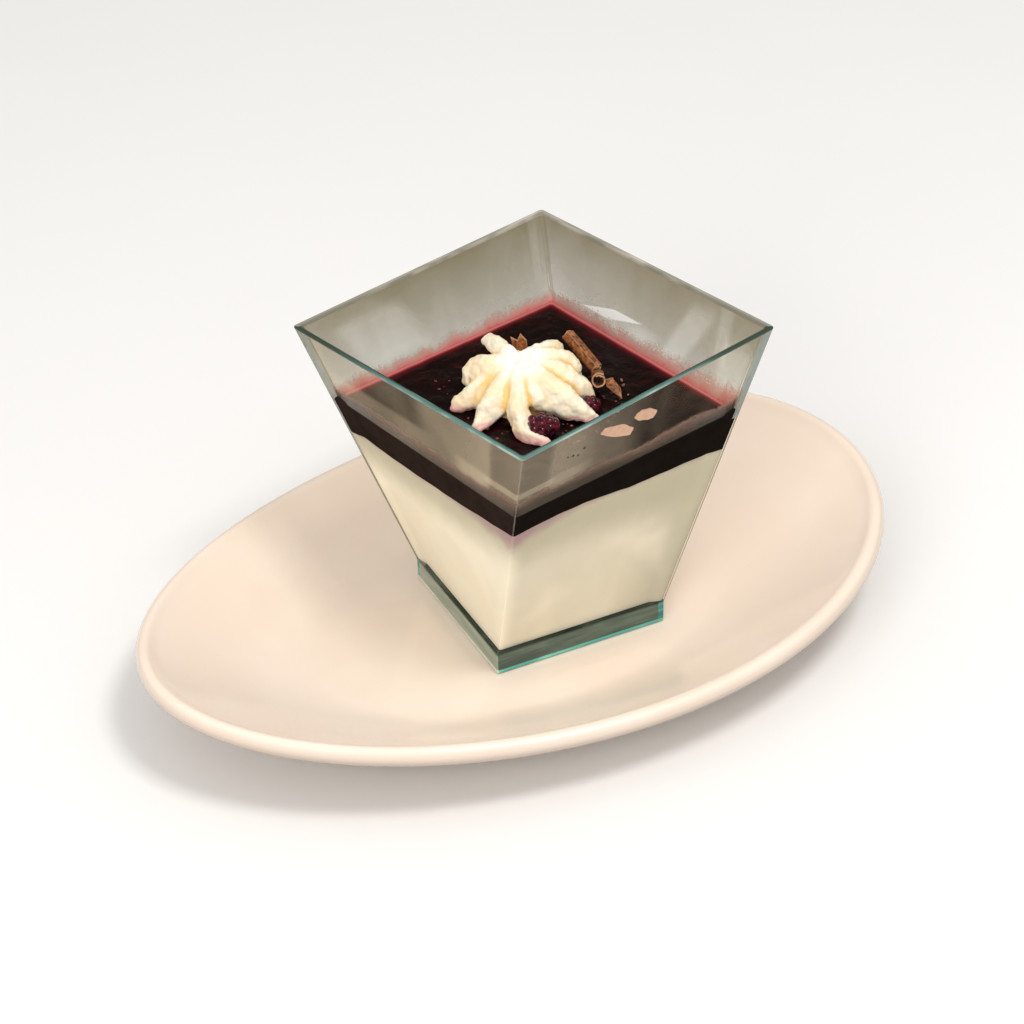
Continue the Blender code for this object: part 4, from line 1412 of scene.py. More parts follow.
@dataclass
class Beads:
    """Droplets of juice, foam bubbles on the wall, specks of berry, and two painted reflections on the right front
    wall.
    """

    form: TwistedSquare
    surface: float
    wall: float = 1.3 * MM
    seed: int = 11

    def domes(self, name: str, spots: Sequence[tuple[Vector, Vector, float, float]],
              finish: bpy.types.Material) -> bpy.types.Object:
        """Join small domes into one piece.

        Args:
            name: the piece's name.
            spots: place, direction it bulges in, radius and height of each dome.
            finish: their material.

        Returns:
            The piece.
        """
        bm = bmesh.new()
        for place, up, radius, tall in spots:
            turn = frame_along(up).to_4x4()
            shape = Matrix.Translation(place) @ turn @ Matrix.Diagonal((radius, radius, tall, 1.0))
            bmesh.ops.create_uvsphere(bm, u_segments=12, v_segments=8, radius=1.0, matrix=shape)
        mesh = bpy.data.meshes.new(name)
        bm.to_mesh(mesh)
        bm.free()
        mesh.shade_smooth()
        made = bpy.data.objects.new(name, mesh)
        bpy.context.scene.collection.objects.link(made)
        return dress(made, "berry_jelly", [finish])

    def bubbles(self) -> bpy.types.Object:
        """Build the foam bubbles that cling to the back walls over the juice."""
        rng = random.Random(self.seed)
        spots = []
        top = self.surface - self.form.base_z
        for wall, first, last, count in ((0, -0.96, 0.35, 96), (0, 0.35, 0.9, 26), (1, -0.8, 0.9, 10)):
            normal = Vector((math.cos(wall * math.pi / 2 + self.form.turn),
                             math.sin(wall * math.pi / 2 + self.form.turn), 0.0))
            for _ in range(count):
                along = rng.uniform(first, last)
                z = top + rng.gauss(3.3, 0.55) * MM
                radius = rng.uniform(0.10, 0.30) * MM
                place = self.form.spot(wall, along, z, self.wall)
                spots.append((place, -normal, radius, 0.55 * radius))
        finish = Droplet("foam_bubble", (0.98, 0.88, 0.82), (0.85, 0.55, 0.50), 0.35)
        return self.domes("foam_bubbles", spots, finish.material())

    def droplets(self, middle: Vector) -> bpy.types.Object:
        """Build the droplets that lie on the jelly round the cream."""
        rng = random.Random(self.seed + 1)
        spots = []
        for first, last, near, far, count in ((-75, 5, 17, 23, 30), (180, 250, 12, 20, 18),
                                              (5, 175, 14, 22, 16), (255, 292, 13, 23, 34)):
            for _ in range(count):
                turn, out = math.radians(rng.uniform(first, last)), rng.uniform(near, far) * MM
                radius = rng.uniform(0.14, 0.42) * MM
                place = Vector((middle.x + out * math.cos(turn), middle.y + out * math.sin(turn),
                                self.surface))
                spots.append((place, Vector((0, 0, 1)), radius, 0.6 * radius))
        finish = Droplet("juice_droplet", (0.35, 0.10, 0.10), (0.03, 0.004, 0.010), 0.25)
        return self.domes("juice_droplets", spots, finish.material())

    def specks(self) -> bpy.types.Object:
        """Build the few specks of berry skin stuck inside the front wall."""
        rng = random.Random(self.seed + 2)
        spots = []
        for along, z in ((-0.604, 65.3), (-0.514, 64.3), (-0.56, 64.9), (-0.47, 65.6), (0.32, 62.0)):
            place = self.form.spot(3, along, z * MM, self.wall)
            radius = rng.uniform(0.2, 0.42) * MM
            spots.append((place, Vector((0, 1, 0)), radius, 0.3 * radius))
        finish = Droplet("berry_speck", (0.05, 0.012, 0.012), (0.012, 0.004, 0.004), 0.0)
        return self.domes("berry_specks", spots, finish.material())

    def painted_reflections(self) -> bpy.types.Object:
        """Build two thin cream-coloured patches inside the right front wall: painted reflections, shaped as
        smears.
        """
        verts, faces = [], []
        around, rounds = 40, 6
        for along, z, half_along, half_z, lean in ((-0.19, 65.6, 5.4, 1.6, -0.45), (0.045, 66.2, 3.4, 1.5, -0.35)):
            for inset in (self.wall + 0.06 * MM, self.wall - 0.10 * MM):
                base = len(verts)
                for r in np.linspace(1.0, 0.12, rounds):
                    for k in range(around):
                        turn = 2 * math.pi * k / around
                        torn = 1.0 + 0.22 * noise.noise(Vector((2 * math.cos(turn), 2 * math.sin(turn), z)))
                        x = half_along * r * torn * math.cos(turn)
                        y = half_z * r * torn * math.copysign(abs(math.sin(turn)) ** 0.6, math.sin(turn))
                        high = (z + y + lean * x) * MM
                        half = float(self.form.section(np.array([high]))[0][0])
                        verts.append(self.form.spot(3, along + x * MM / half, high, inset))
                rows = [tuple(base + i for i in f) for f in ring_faces(rounds, around)]
                cap = tuple(base + (rounds - 1) * around + k for k in range(around))
                faces += rows + [cap]
            other = base - rounds * around
            faces += [(other + k, base + k, base + (k + 1) % around, other + (k + 1) % around)
                      for k in range(around)]
        made = piece_from("painted_reflection_smears", np.array([tuple(v) for v in verts]), faces, sharp=70.0)
        outward(made)
        finish = Droplet("painted_reflection_smear", (0.86, 0.57, 0.45), (0.60, 0.36, 0.27), 0.12, 0.1)
        return dress(made, "cream", [finish.material()])

    def build(self, middle: Vector) -> None:
        """Build every kind.

        Args:
            middle: middle of the rosette.
        """
        self.bubbles()
        self.droplets(middle)
        self.specks()
        self.painted_reflections()


# ------------------------------------------------------------------ cream

@dataclass(frozen=True)
class Finger:
    """One piped finger of cream.

    Each knot of its middle line is a direction in degrees, a distance from the rosette's
    middle, a height over the jelly and the finger's radius there, in millimetres.
    """

    knots: tuple[tuple[float, float, float, float], ...]
    ridges: int = 3
    torn: bool = False

    def line(self, count: int) -> tuple[np.ndarray, np.ndarray]:
        """Middle line and radius along it.

        Args:
            count: number of points wanted.

        Returns:
            Places from the rosette's middle, and radii.
        """
        turn, out, height, thick = np.array(self.knots).T
        turn = np.radians(turn)
        rows = np.stack([out * np.cos(turn), out * np.sin(turn), height, thick], 1) * MM
        smooth = smooth_line(rows, count)
        return smooth[:, :3], np.maximum(smooth[:, 3], 0.4 * MM)


@dataclass
class Rosette:
    """Piped cream: a low mound with ragged fingers all round."""

    middle: Vector
    mound: tuple[float, float, float] = (8.6 * MM, 8.6 * MM, 9.7 * MM)
    fuller: float = 1.10
    grain: float = 0.33 * MM
    ridge_depth: float = 0.085
    fingers: tuple[Finger, ...] = (
        Finger(((198, 1.0, 8.8, 2.2), (104, 4.5, 9.7, 2.0), (94, 9.6, 9.4, 1.8), (92, 13.6, 8.8, 1.5))),
        Finger(((153, 1.8, 7.5, 3.0), (141, 6.4, 6.8, 3.4), (134, 9.8, 5.4, 3.3), (134, 11.6, 3.9, 2.9))),
        Finger(((160, 3.9, 6.0, 2.8), (158, 8.0, 4.4, 3.0), (164, 11.4, 2.8, 2.5), (164, 14.2, 1.6, 1.7),
                (165, 16.2, 1.0, 1.0))),
        Finger(((176, 5.6, 4.5, 2.8), (175, 9.5, 2.6, 2.6), (173, 11.6, 1.7, 1.8))),
        Finger(((184, 3.3, 6.5, 2.8), (198, 7.8, 4.6, 2.9), (200, 11.2, 3.0, 2.6), (200, 13.9, 1.7, 1.9),
                (201, 16.9, 0.9, 1.1))),
        Finger(((219, 2.7, 7.5, 2.6), (232, 7.0, 5.6, 2.4), (234, 10.8, 3.9, 2.3), (237, 14.2, 2.5, 2.1),
                (241, 16.6, 1.7, 1.8), (248, 18.5, 1.2, 1.4), (255, 20.2, 0.8, 0.8))),
        Finger(((263, 2.8, 7.0, 2.8), (264, 7.0, 5.2, 2.8), (265, 9.8, 4.0, 2.3))),
        Finger(((286, 2.5, 7.5, 3.0), (283, 7.8, 5.8, 3.4), (289, 11.9, 4.0, 3.2), (292, 15.5, 2.6, 2.4),
                (294, 18.2, 1.6, 1.5), (296, 19.6, 1.0, 0.9))),
        Finger(((327, 2.9, 7.5, 3.2), (319, 7.8, 6.2, 3.4), (319, 11.5, 4.4, 2.9), (320, 14.0, 2.8, 2.2),
                (320, 15.4, 1.7, 1.6))),
        Finger(((10, 2.4, 8.0, 3.0), (347, 6.1, 7.8, 3.4), (347, 10.0, 6.2, 3.2), (342, 12.0, 4.6, 2.8))),
        Finger(((22, 3.0, 8.5, 2.6), (16, 7.6, 8.0, 2.6), (18, 11.2, 7.2, 2.2), (18, 12.9, 6.4, 1.8)), 4, True),
        Finger(((42, 1.5, 8.6, 2.4), (33, 5.7, 8.0, 2.0), (33, 8.0, 7.2, 1.6)), 4, True),
        Finger(((72, 2.5, 6.5, 3.0), (72, 7.4, 4.2, 3.0), (72, 10.4, 2.0, 2.4))),
        Finger(((28, 4.5, 5.8, 3.2), (28, 9.2, 3.8, 3.2), (28, 12.6, 1.9, 2.3))),
        Finger(((3, 5.0, 5.6, 3.2), (3, 10.4, 3.4, 3.0), (3, 14.2, 1.6, 1.9))),
        Finger(((112, 4.0, 6.0, 3.0), (116, 8.4, 3.6, 3.0), (112, 11.8, 1.8, 2.2))),
    )

    def add_finger(self, bm: bmesh.types.BMesh, finger: Finger) -> None:
        """Add one finger with its piped ridges to a mesh.

        Args:
            bm: the mesh.
            finger: the finger.
        """
        around, count = 36, 30
        line, radii = finger.line(count)
        radii = radii * np.interp(np.linspace(0, 1, count), (0.0, 0.6, 1.0), (self.fuller, self.fuller, 1.0))
        rows = []
        for k in range(count):
            ahead = Vector(line[min(k + 1, count - 1)] - line[max(k - 1, 0)]).normalized()
            side = ahead.cross(Vector((0, 0, 1))).normalized()
            up = side.cross(ahead)
            row = []
            for j in range(around):
                turn = 2 * math.pi * j / around
                lift = math.cos(finger.ridges * (turn - math.pi / 2) + 1.3 * k / count)
                r = radii[k] * (1.0 + self.ridge_depth * lift)
                offset = side * math.cos(turn) * r + up * math.sin(turn) * r
                row.append(bm.verts.new(Vector(line[k]) + offset))
            rows.append(row)
        for a, b in zip(rows, rows[1:]):
            for j in range(around):
                after = (j + 1) % around
                bm.faces.new((a[j], a[after], b[after], b[j]))
        bm.faces.new(rows[0][::-1])
        nose = Vector(line[-1]) + Vector(line[-1] - line[-2]).normalized() * radii[-1] * 0.75
        tip = bm.verts.new(nose)
        for j in range(around):
            bm.faces.new((rows[-1][j], rows[-1][(j + 1) % around], tip))

    def add_peaks(self, bm: bmesh.types.BMesh) -> None:
        """Add the small torn peaks along the back of the rosette."""
        rng = random.Random(4)
        for finger in self.fingers:
            if not finger.torn:
                continue
            line, radii = finger.line(12)
            for k in range(4, 12, 2):
                side = rng.uniform(-0.5, 0.5)
                base = Vector(line[k]) + Vector((side, side, 0.75)) * float(radii[k])
                lean = Vector((rng.uniform(-0.5, 0.5), rng.uniform(-0.5, 0.5), 1.0))
                shape = Matrix.Translation(base) @ frame_along(lean).to_4x4()
                bmesh.ops.create_cone(bm, cap_ends=True, segments=12, radius1=0.95 * MM, radius2=0.22 * MM,
                                      depth=rng.uniform(1.3, 2.2) * MM, matrix=shape)

    def fused(self) -> bpy.types.Object:
        """Fuse mound and fingers into one skin."""
        bm = bmesh.new()
        bmesh.ops.create_uvsphere(bm, u_segments=48, v_segments=24, radius=1.0,
                                  matrix=Matrix.Diagonal((*self.mound, 1.0)))
        for finger in self.fingers:
            self.add_finger(bm, finger)
        self.add_peaks(bm)
        bmesh.ops.recalc_face_normals(bm, faces=bm.faces)
        mesh = bpy.data.meshes.new("cream")
        bm.to_mesh(mesh)
        bm.free()
        made = bpy.data.objects.new("cream_rosette_fine", mesh)
        bpy.context.scene.collection.objects.link(made)
        fuse = made.modifiers.new("fuse", "REMESH")
        fuse.mode = "VOXEL"
        fuse.voxel_size = self.grain
        soften = made.modifiers.new("soften", "SMOOTH")
        soften.factor = 0.5
        soften.iterations = 2
        graph = bpy.context.evaluated_depsgraph_get()
        graph.update()
        skin = bpy.data.meshes.new_from_object(made.evaluated_get(graph))
        made.modifiers.clear()
        made.data = skin
        bpy.data.meshes.remove(mesh)
        return made

    def build(self) -> bpy.types.Object:
        """Build the rosette, uneven as piped cream is, and flat where it lies on the jelly."""
        made = self.fused()
        mesh = made.data
        count = len(mesh.vertices)
        points = np.zeros(count * 3)
        mesh.vertices.foreach_get("co", points)
        points = points.reshape(-1, 3)
        normals = np.array([v.normal for v in mesh.vertices])
        hollow = self.hollows(mesh, points, normals)
        calm = 1.0 - 0.75 * np.clip((points[:, 2] - 6.8 * MM) / (1.5 * MM), 0.0, 1.0)
        lumps = (0.58 * calm * field_at(points, 3.2 * MM, 1.0) + 0.28 * field_at(points, 1.5 * MM, 4.0)
                 + 0.16 * field_at(points, 0.7 * MM, 7.0))
        points = points + normals * (lumps * MM)[:, None]
        points[:, 2] = np.maximum(points[:, 2], -0.15 * MM)
        points += np.array(self.middle)
        mesh.vertices.foreach_set("co", points.ravel())
        mesh.update()
        mesh.shade_smooth()
        out = np.hypot(points[:, 0] - self.middle.x, points[:, 1] - self.middle.y)
        paint(made, "hollow", hollow)
        # share of painted highlight, strongest at the rosette's middle
        paint(made, "crown_light", np.clip(1.25 - out / (6.5 * MM), 0.0, 1.0))
        paint(made, "blush", self.blush(points))
        return dress(made, "cream", [WhippedCream().material()], "cream_rosette")

    def hollows(self, mesh: bpy.types.Mesh, points: np.ndarray, normals: np.ndarray) -> np.ndarray:
        """How deep in a fold and how low each point lies, from 0 on a crest to 1 in a fold: the share of painted
        shade.

        Args:
            mesh: the fused mesh.
            points: its points.
            normals: their normals.

        Returns:
            One number for each point.
        """
        edges = np.zeros(len(mesh.edges) * 2, int)
        mesh.edges.foreach_get("vertices", edges)
        a, b = edges.reshape(-1, 2).T
        smooth = points.copy()
        degree = np.bincount(np.concatenate([a, b]), minlength=len(points))[:, None]
        for _ in range(60):
            total = np.zeros_like(smooth)
            np.add.at(total, a, smooth[b])
            np.add.at(total, b, smooth[a])
            smooth = total / np.maximum(degree, 1)
        depth = np.einsum("ij,ij->i", smooth - points, normals) / (0.75 * MM)
        low = 1.0 - np.clip(points[:, 2] / (7.0 * MM), 0.0, 1.0)
        return np.clip(0.25 + 0.65 * depth + 0.30 * low, 0.0, 1.0)

    def blush(self, points: np.ndarray) -> np.ndarray:
        """How much berry juice has soaked into each point, from 0 to 1."""
        low = 1.0 - np.clip((points[:, 2] - self.middle.z) / (3.4 * MM), 0.0, 1.0)
        out = np.hypot(points[:, 0] - self.middle.x, points[:, 1] - self.middle.y)
        far = np.clip((out - 10 * MM) / (5 * MM), 0.0, 1.0)
        return np.clip(low * (0.45 + 1.2 * far), 0.0, 1.0)


# ------------------------------------------------------------------ chocolate

def thick_sheet(name: str, grid: np.ndarray, thick: float) -> bpy.types.Object:
    """Make a sheet with a thickness from a grid of points, its border painted as an edge.

    Args:
        name: the piece's name.
        grid: points in rows and columns.
        thick: the sheet's thickness.

    Returns:
        The piece.
    """
    rows, columns, _ = grid.shape
    du = np.gradient(grid, axis=1)
    dv = np.gradient(grid, axis=0)
    normal = np.cross(du, dv)
    normal /= np.maximum(np.linalg.norm(normal, axis=2, keepdims=True), 1e-12)
    sides = [(grid + normal * thick / 2).reshape(-1, 3), (grid - normal * thick / 2).reshape(-1, 3)]
    count = rows * columns
    faces = []
    for r in range(rows - 1):
        for c in range(columns - 1):
            k = r * columns + c
            faces.append((k, k + 1, k + columns + 1, k + columns))
            faces.append((count + k, count + k + columns, count + k + columns + 1, count + k + 1))
    border = [c for c in range(columns)]
    border += [r * columns + columns - 1 for r in range(1, rows)]
    border += [(rows - 1) * columns + c for c in range(columns - 2, -1, -1)]
    border += [r * columns for r in range(rows - 2, 0, -1)]
    for a, b in zip(border, border[1:] + border[:1]):
        faces.append((a, count + a, count + b, b))
    made = piece_from(name, np.vstack(sides), faces, sharp=55.0)
    outward(made)
    edge = np.zeros(count)
    edge[border] = 1.0
    inner = edge.reshape(rows, columns)
    paint(made, "edge", np.tile(inner.ravel(), 2))
    return made


@dataclass
class Chocolate:
    """Shavings of chocolate: a long roll, a short one seen end on, two flakes and crumbs."""

    surface: float
    thick: float = 0.35 * MM
    flake_thick: float = 0.6 * MM
    loose: float = 0.12 * MM
    seed: int = 21

    def middle_of(self, node: str) -> Vector:
        """Middle of a CAD node's box."""
        low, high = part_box(node)
        return (low + high) / 2

    def scroll(self, name: str, node: str, length: float, radius: float, turns: float,
               axis: tuple[float, float, float], start: float, ragged: float) -> bpy.types.Object:
        """Build a rolled shaving with torn ends and a barky skin.

        Args:
            name: the piece's name.
            node: the CAD node it stands for.
            length: its length.
            radius: its outer radius.
            turns: how often it is rolled.
            axis: direction it lies in.
            start: angle at which the outer edge lies.
            ragged: how uneven its ends are.

        Returns:
            The piece.
        """
        rows, columns = 40, round(turns * 64)
        turn = frame_along(Vector(axis))
        middle = self.middle_of(node)
        grid = np.zeros((rows, columns, 3))
        for c in range(columns):
            angle = 2 * math.pi * turns * c / (columns - 1)
            r = radius - self.thick / 2 - (self.thick + self.loose) * angle / (2 * math.pi)
            tear = ragged * noise.noise(Vector((c * 0.13, 4.0, radius * 900)))
            for row in range(rows):
                z = (row / (rows - 1) - 0.5) * (length + 2 * tear)
                bark = (noise.noise(Vector((c * 0.16, z / (2.2 * MM), 7.0)))
                        + 0.6 * noise.noise(Vector((c * 0.4, z / (0.9 * MM), 2.0))))
                bow = 0.03 * MM * math.cos(z / length * math.pi)
                reach = r + 0.10 * MM * bark
                local = Vector((reach * math.cos(angle + start) + bow, reach * math.sin(angle + start), z))
                grid[row, c] = middle + turn @ local
        return thick_sheet(name, grid, self.thick)

    def flake(self, name: str, node: str, outline: Sequence[tuple[float, float]],
              along: tuple[float, float, float], normal: tuple[float, float, float],
              bend: float) -> bpy.types.Object:
        """Build a broken flake with a rough, slightly bent face.

        Args:
            name: the piece's name.
            node: the CAD node it stands for.
            outline: its corners in millimetres.
            along: direction of its own X.
            normal: direction of its face.
            bend: how much its middle stands proud, in metres.

        Returns:
            The piece.
        """
        x_axis = Vector(along).normalized()
        y_axis = Vector(normal).cross(x_axis).normalized()
        turn = Matrix((x_axis, y_axis, x_axis.cross(y_axis))).transposed()
        middle = self.middle_of(node)
        corners = np.array(outline) * MM
        corners -= (corners.min(0) + corners.max(0)) / 2
        ring = []
        for a, b in zip(corners, np.roll(corners, -1, axis=0)):
            for t in np.linspace(0, 1, 9, endpoint=False):
                ring.append(a + (b - a) * t)
        ring = np.array(ring)
        wobble = field_at(np.column_stack([ring, np.zeros(len(ring))]), 0.7 * MM, 3.0)
        ring *= (1.0 + 0.07 * wobble)[:, None]
        steps = 9
        verts, edge = [], []
        for side in (1, -1):
            for k in range(steps):
                share = 1.0 - k / steps
                for p in ring * share:
                    lift = bend * (1 - share ** 2)
                    rough = 0.06 * MM * noise.noise(Vector((p[0] / (0.6 * MM), p[1] / (1.6 * MM), side)))
                    round_off = 0.12 * MM if k == 0 else 0.0
                    z = side * (self.flake_thick / 2 - round_off) + lift + rough
                    verts.append(middle + turn @ Vector((p[0], p[1], z)))
                    edge.append(1.0 if k == 0 else max(0.0, 0.5 - 0.4 * k))
        n, half = len(ring), steps * len(ring)
        faces = ring_faces(steps, n)
        faces += [tuple(half + i for i in f[::-1]) for f in ring_faces(steps, n)]
        faces += [(k, half + k, half + (k + 1) % n, (k + 1) % n) for k in range(n)]
        faces.append(tuple(half - n + k for k in range(n)))
        faces.append(tuple(2 * half - 1 - k for k in range(n)))
        made = piece_from(name, np.array([tuple(v) for v in verts]), faces, sharp=55.0)
        outward(made)
        paint(made, "edge", np.array(edge))
        return made

    def crumbs(self, middle: Vector) -> bpy.types.Object:
        """Build the crumbs that lie round the shavings.

        Args:
            middle: middle of the rosette.

        Returns:
            The piece.
        """
        rng = random.Random(self.seed)
        bm = bmesh.new()
        spots = [(19.5, -2.0), (20.8, -4.6), (21.6, -8.2), (20.4, -12.0), (17.0, -14.6), (14.6, -16.4),
                 (22.6, -6.0), (18.6, 6.4), (-12.8, -6.2), (12.5, 14.0)]
        for x, y in spots:
            size = rng.uniform(0.22, 0.55) * MM
            place = Vector((middle.x + x * MM, middle.y + y * MM, self.surface + 0.35 * size))
            lean = Vector((rng.gauss(0, 1), rng.gauss(0, 1), rng.gauss(0, 1)))
            shape = (Matrix.Translation(place) @ frame_along(lean).to_4x4()
                     @ Matrix.Diagonal((size, 0.6 * size, 1.3 * size, 1.0)))
            made = bmesh.ops.create_icosphere(bm, subdivisions=2, radius=1.0, matrix=shape)
            for vert in made["verts"]:
                vert.co += (vert.co - place) * 0.45 * noise.noise(vert.co / (0.45 * MM))
        mesh = bpy.data.meshes.new("chocolate_crumbs")
        bm.to_mesh(mesh)
        bm.free()
        crumbs = bpy.data.objects.new("chocolate_crumbs", mesh)
        bpy.context.scene.collection.objects.link(crumbs)
        paint(crumbs, "edge", np.full(len(mesh.vertices), 0.35))
        return crumbs

    def build(self, middle: Vector) -> None:
        """Build every shaving and the crumbs.

        Args:
            middle: middle of the rosette.
        """
        finish = [MilkChocolate().material()]
        roll = self.scroll("chocolate_long_roll", "chocolate_roll", 10.8 * MM, 1.75 * MM, 1.7,
                           (0.13, -0.89, -0.43), 2.2, 0.5 * MM)
        dress(roll, "chocolate", finish, "chocolate_roll")
        ring = self.scroll("chocolate_short_roll", "chocolate_ring", 4.0 * MM, 1.85 * MM, 1.2,
                           (-0.46, -0.80, 0.39), 0.4, 0.45 * MM)
        dress(ring, "chocolate", finish, "chocolate_ring")
        shard = self.flake("chocolate_flake", "chocolate_shard",
                           [(-3.0, -0.5), (-1.4, -1.2), (3.2, -0.5), (1.0, 0.9), (-2.2, 1.1)],
                           (0.15, -0.90, -0.38), (-0.30, -0.40, 0.87), 0.15 * MM)
        dress(shard, "chocolate", finish, "chocolate_shard")
        splinter = self.flake("chocolate_splinter_fine", "chocolate_splinter",
                              [(-3.2, -1.5), (1.2, -1.8), (3.2, -0.7), (1.6, 0.2), (2.8, 1.6), (-3.2, 1.4)],
                              (-0.10, 0.12, 0.98), (-0.42, -0.85, 0.20), 0.1 * MM)
        dress(splinter, "chocolate", finish, "chocolate_splinter")
        dress(self.crumbs(middle), "chocolate", finish)


# ------------------------------------------------------------------ dark berries

@dataclass
class Berries:
    """Two crimson berries, each a cluster of round drupelets."""

    core: float = 0.8
    bead: float = 0.36
    rings: int = 5
    around: int = 9

    def berry(self, name: str, node: str, length: float, radius: float,
              axis: tuple[float, float, float], lift: float, seed: int) -> bpy.types.Object:
        """Build one berry.

        Args:
            name: the piece's name.
            node: the CAD node it stands for.
            length: its length.
            radius: its radius.
            axis: direction of its long axis.
            lift: height of its middle above the node's lowest point.
            seed: start of its random numbers.

        Returns:
            The piece.
        """
        rng = random.Random(seed)
        low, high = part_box(node)
        middle = Vector(((low.x + high.x) / 2, (low.y + high.y) / 2, low.z + lift))
        turn = Matrix.Translation(middle) @ frame_along(Vector(axis)).to_4x4()
        bm = bmesh.new()
        core = Matrix.Diagonal((radius * self.core, radius * self.core, length / 2 * self.core, 1.0))
        bmesh.ops.create_uvsphere(bm, u_segments=24, v_segments=16, radius=1.0, matrix=turn @ core)
        bead = radius * self.bead
        for ring in range(self.rings):
            tilt = math.pi * (ring + 0.5) / self.rings
            around = max(4, round(self.around * math.sin(tilt)))
            for k in range(around):
                angle = 2 * math.pi * (k + 0.5 * (ring % 2) + rng.uniform(-0.08, 0.08)) / around
                spot = Vector((math.cos(angle) * math.sin(tilt) * (radius - bead),
                               math.sin(angle) * math.sin(tilt) * (radius - bead),
                               math.cos(tilt) * (length / 2 - bead)))
                size = bead * rng.uniform(0.88, 1.12)
                bmesh.ops.create_uvsphere(bm, u_segments=18, v_segments=12, radius=size,
                                          matrix=turn @ Matrix.Translation(spot))
        floor = low.z - 0.25 * MM
        for vert in bm.verts:
            vert.co.z = max(vert.co.z, floor)
        mesh = bpy.data.meshes.new(name)
        bm.to_mesh(mesh)
        bm.free()
        mesh.shade_smooth()
        made = bpy.data.objects.new(name, mesh)
        bpy.context.scene.collection.objects.link(made)
        return made

    def build(self) -> None:
        """Build both berries."""
        finish = [BerrySkin().material()]
        front = self.berry("berry_by_curl", "dark_berry", 8.2 * MM, 3.0 * MM, (0.86, -0.51, 0.10),
                           2.1 * MM, 1)
        dress(front, "berry_skin", finish, "dark_berry")
        side = self.berry("berry_by_lobe", "dark_berry_small", 5.5 * MM, 2.3 * MM, (0.86, -0.45, 0.20),
                          1.5 * MM, 2)
        dress(side, "berry_skin", finish, "dark_berry_small")


# ------------------------------------------------------------------ studio

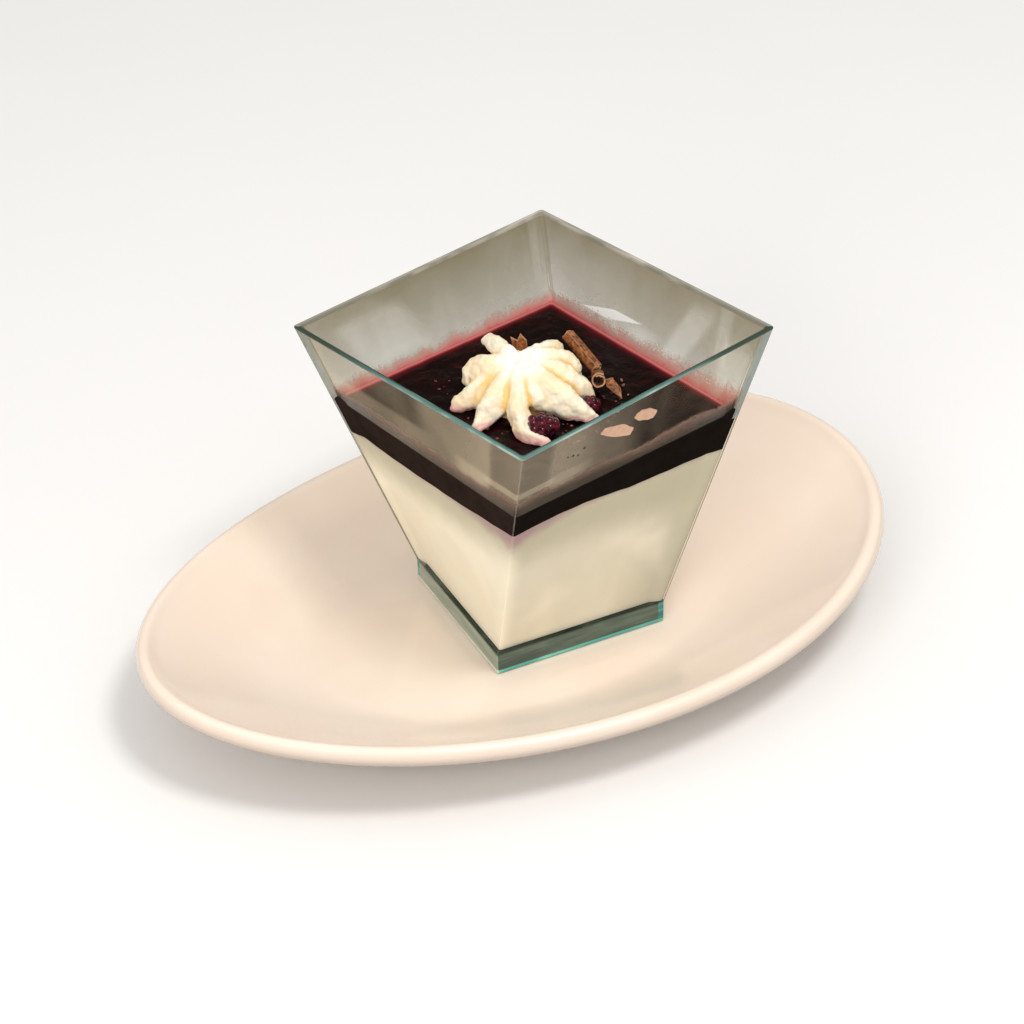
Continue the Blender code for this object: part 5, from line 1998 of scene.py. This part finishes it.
@dataclass
class Studio:
    """Pale floor, soft light and the camera."""

    rim_side: float
    centre_x: float
    cup_z: float
    azimuth: float = math.radians(-30.741)
    elevation: float = math.radians(34.665)
    roll: float = math.radians(-1.754)
    distance: float = 9.0377
    slide: tuple[float, float] = (-0.0725, -0.1445)
    lens: float = 105.47
    floor_size: float = 4.0
    sky_light: float = 0.72
    sky_gloss: float = 0.16
    key: float = 4.2
    fill: float = 3.0

    def floor(self) -> None:
        """Lay the pale floor."""
        half = self.floor_size / 2
        steps = np.linspace(-half, half, 9)
        verts = np.array([(x, y, 0.0) for y in steps for x in steps])
        faces = [(r * 9 + c, r * 9 + c + 1, r * 9 + c + 10, r * 9 + c + 9)
                 for r in range(8) for c in range(8)]
        floor = piece_from("floor", verts, faces)
        f = Finish("floor_paint")
        colour = f.blend(f.noise(60 * MM, 2.0), (0.90, 0.90, 0.90), (0.88, 0.88, 0.88))
        floor.data.materials.append(f.done(f.body(Base_Color=colour, Roughness=0.7)))

    def lamp(self, name: str, place: Vector, size: float, power: float,
             colour: Colour) -> bpy.types.Object:
        """Hang a square lamp that faces the cup.

        Args:
            name: the lamp's name.
            place: where it hangs.
            size: its side.
            power: its power in watts.
            colour: its colour.

        Returns:
            The lamp.
        """
        data = bpy.data.lights.new(name, "AREA")
        data.size = size
        data.energy = power
        data.color = colour
        lamp = bpy.data.objects.new(name, data)
        bpy.context.scene.collection.objects.link(lamp)
        lamp.location = place
        ahead = Vector((self.centre_x, 0.0, self.cup_z)) - place
        lamp.rotation_euler = ahead.to_track_quat("-Z", "Y").to_euler()
        return lamp

    def sky(self) -> None:
        """Light all round softly, and keep reflections of the room dim."""
        world = bpy.data.worlds.new("sky")
        bpy.context.scene.world = world
        world.use_nodes = True
        tree = world.node_tree
        soft = tree.nodes["Background"]
        soft.inputs["Color"].default_value = (1.0, 0.985, 0.96, 1.0)
        soft.inputs["Strength"].default_value = self.sky_light
        dim = tree.nodes.new("ShaderNodeBackground")
        dim.inputs["Color"].default_value = (1.0, 0.97, 0.93, 1.0)
        dim.inputs["Strength"].default_value = self.sky_gloss
        path = tree.nodes.new("ShaderNodeLightPath")
        mix = tree.nodes.new("ShaderNodeMixShader")
        tree.links.new(path.outputs["Is Glossy Ray"], mix.inputs[0])
        tree.links.new(soft.outputs[0], mix.inputs[1])
        tree.links.new(dim.outputs[0], mix.inputs[2])
        tree.links.new(mix.outputs[0], tree.nodes["World Output"].inputs["Surface"])

    def lights(self) -> None:
        """Light the scene: a soft sky, a key lamp at the right and a fill at the left."""
        bpy.context.scene.view_settings.view_transform = "Standard"
        self.sky()
        self.lamp("key", Vector((0.13, -0.39, 0.97)), 0.26, self.key, (1.0, 0.97, 0.93))
        fill = self.lamp("fill", Vector((-0.62, -0.50, 0.42)), 0.45, self.fill, (1.0, 0.97, 0.93))
        fill.visible_glossy = False

    def camera(self) -> None:
        """Set up the camera."""
        a, e = self.azimuth, self.elevation
        back = Vector((math.sin(a) * math.cos(e), -math.cos(a) * math.cos(e), math.sin(e)))
        level = (-back).cross(Vector((0, 0, 1))).normalized()
        rise = level.cross(-back)
        right = level * math.cos(self.roll) + rise * math.sin(self.roll)
        up = rise * math.cos(self.roll) - level * math.sin(self.roll)
        aim = Vector((self.centre_x, 0.0, self.cup_z + 0.5 * self.rim_side))
        place = aim + (back * self.distance + right * self.slide[0] + up * self.slide[1]) * self.rim_side
        data = bpy.data.cameras.new("camera")
        data.sensor_width = 36.0
        data.lens = self.lens
        data.clip_start = 0.01
        camera = bpy.data.objects.new("camera", data)
        bpy.context.scene.collection.objects.link(camera)
        turn = Matrix((right, up, back)).transposed().to_4x4()
        camera.matrix_world = Matrix.Translation(place) @ turn
        bpy.context.scene.camera = camera

    def build(self) -> None:
        """Build the whole studio."""
        self.floor()
        self.lights()
        self.camera()


def main() -> None:
    """Build the plate, the cup, what is in it, and the studio round them."""
    logging.basicConfig(level=logging.INFO, format="%(message)s")
    low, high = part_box("cup")
    form = TwistedSquare(centre_x=(low.x + high.x) / 2, base_z=low.z)
    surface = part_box("berry_layer")[1].z
    middle = Vector((form.centre_x - 1.1 * MM, 3.4 * MM, surface))
    Plate().build()
    Cup(form).build()
    Fillings(form).build()
    Beads(form, surface).build(middle)
    Rosette(middle).build()
    Chocolate(surface).build(middle)
    Berries().build()
    Studio(form.rim_side, form.centre_x, form.base_z).build()


if __name__ == "__main__":
    main()
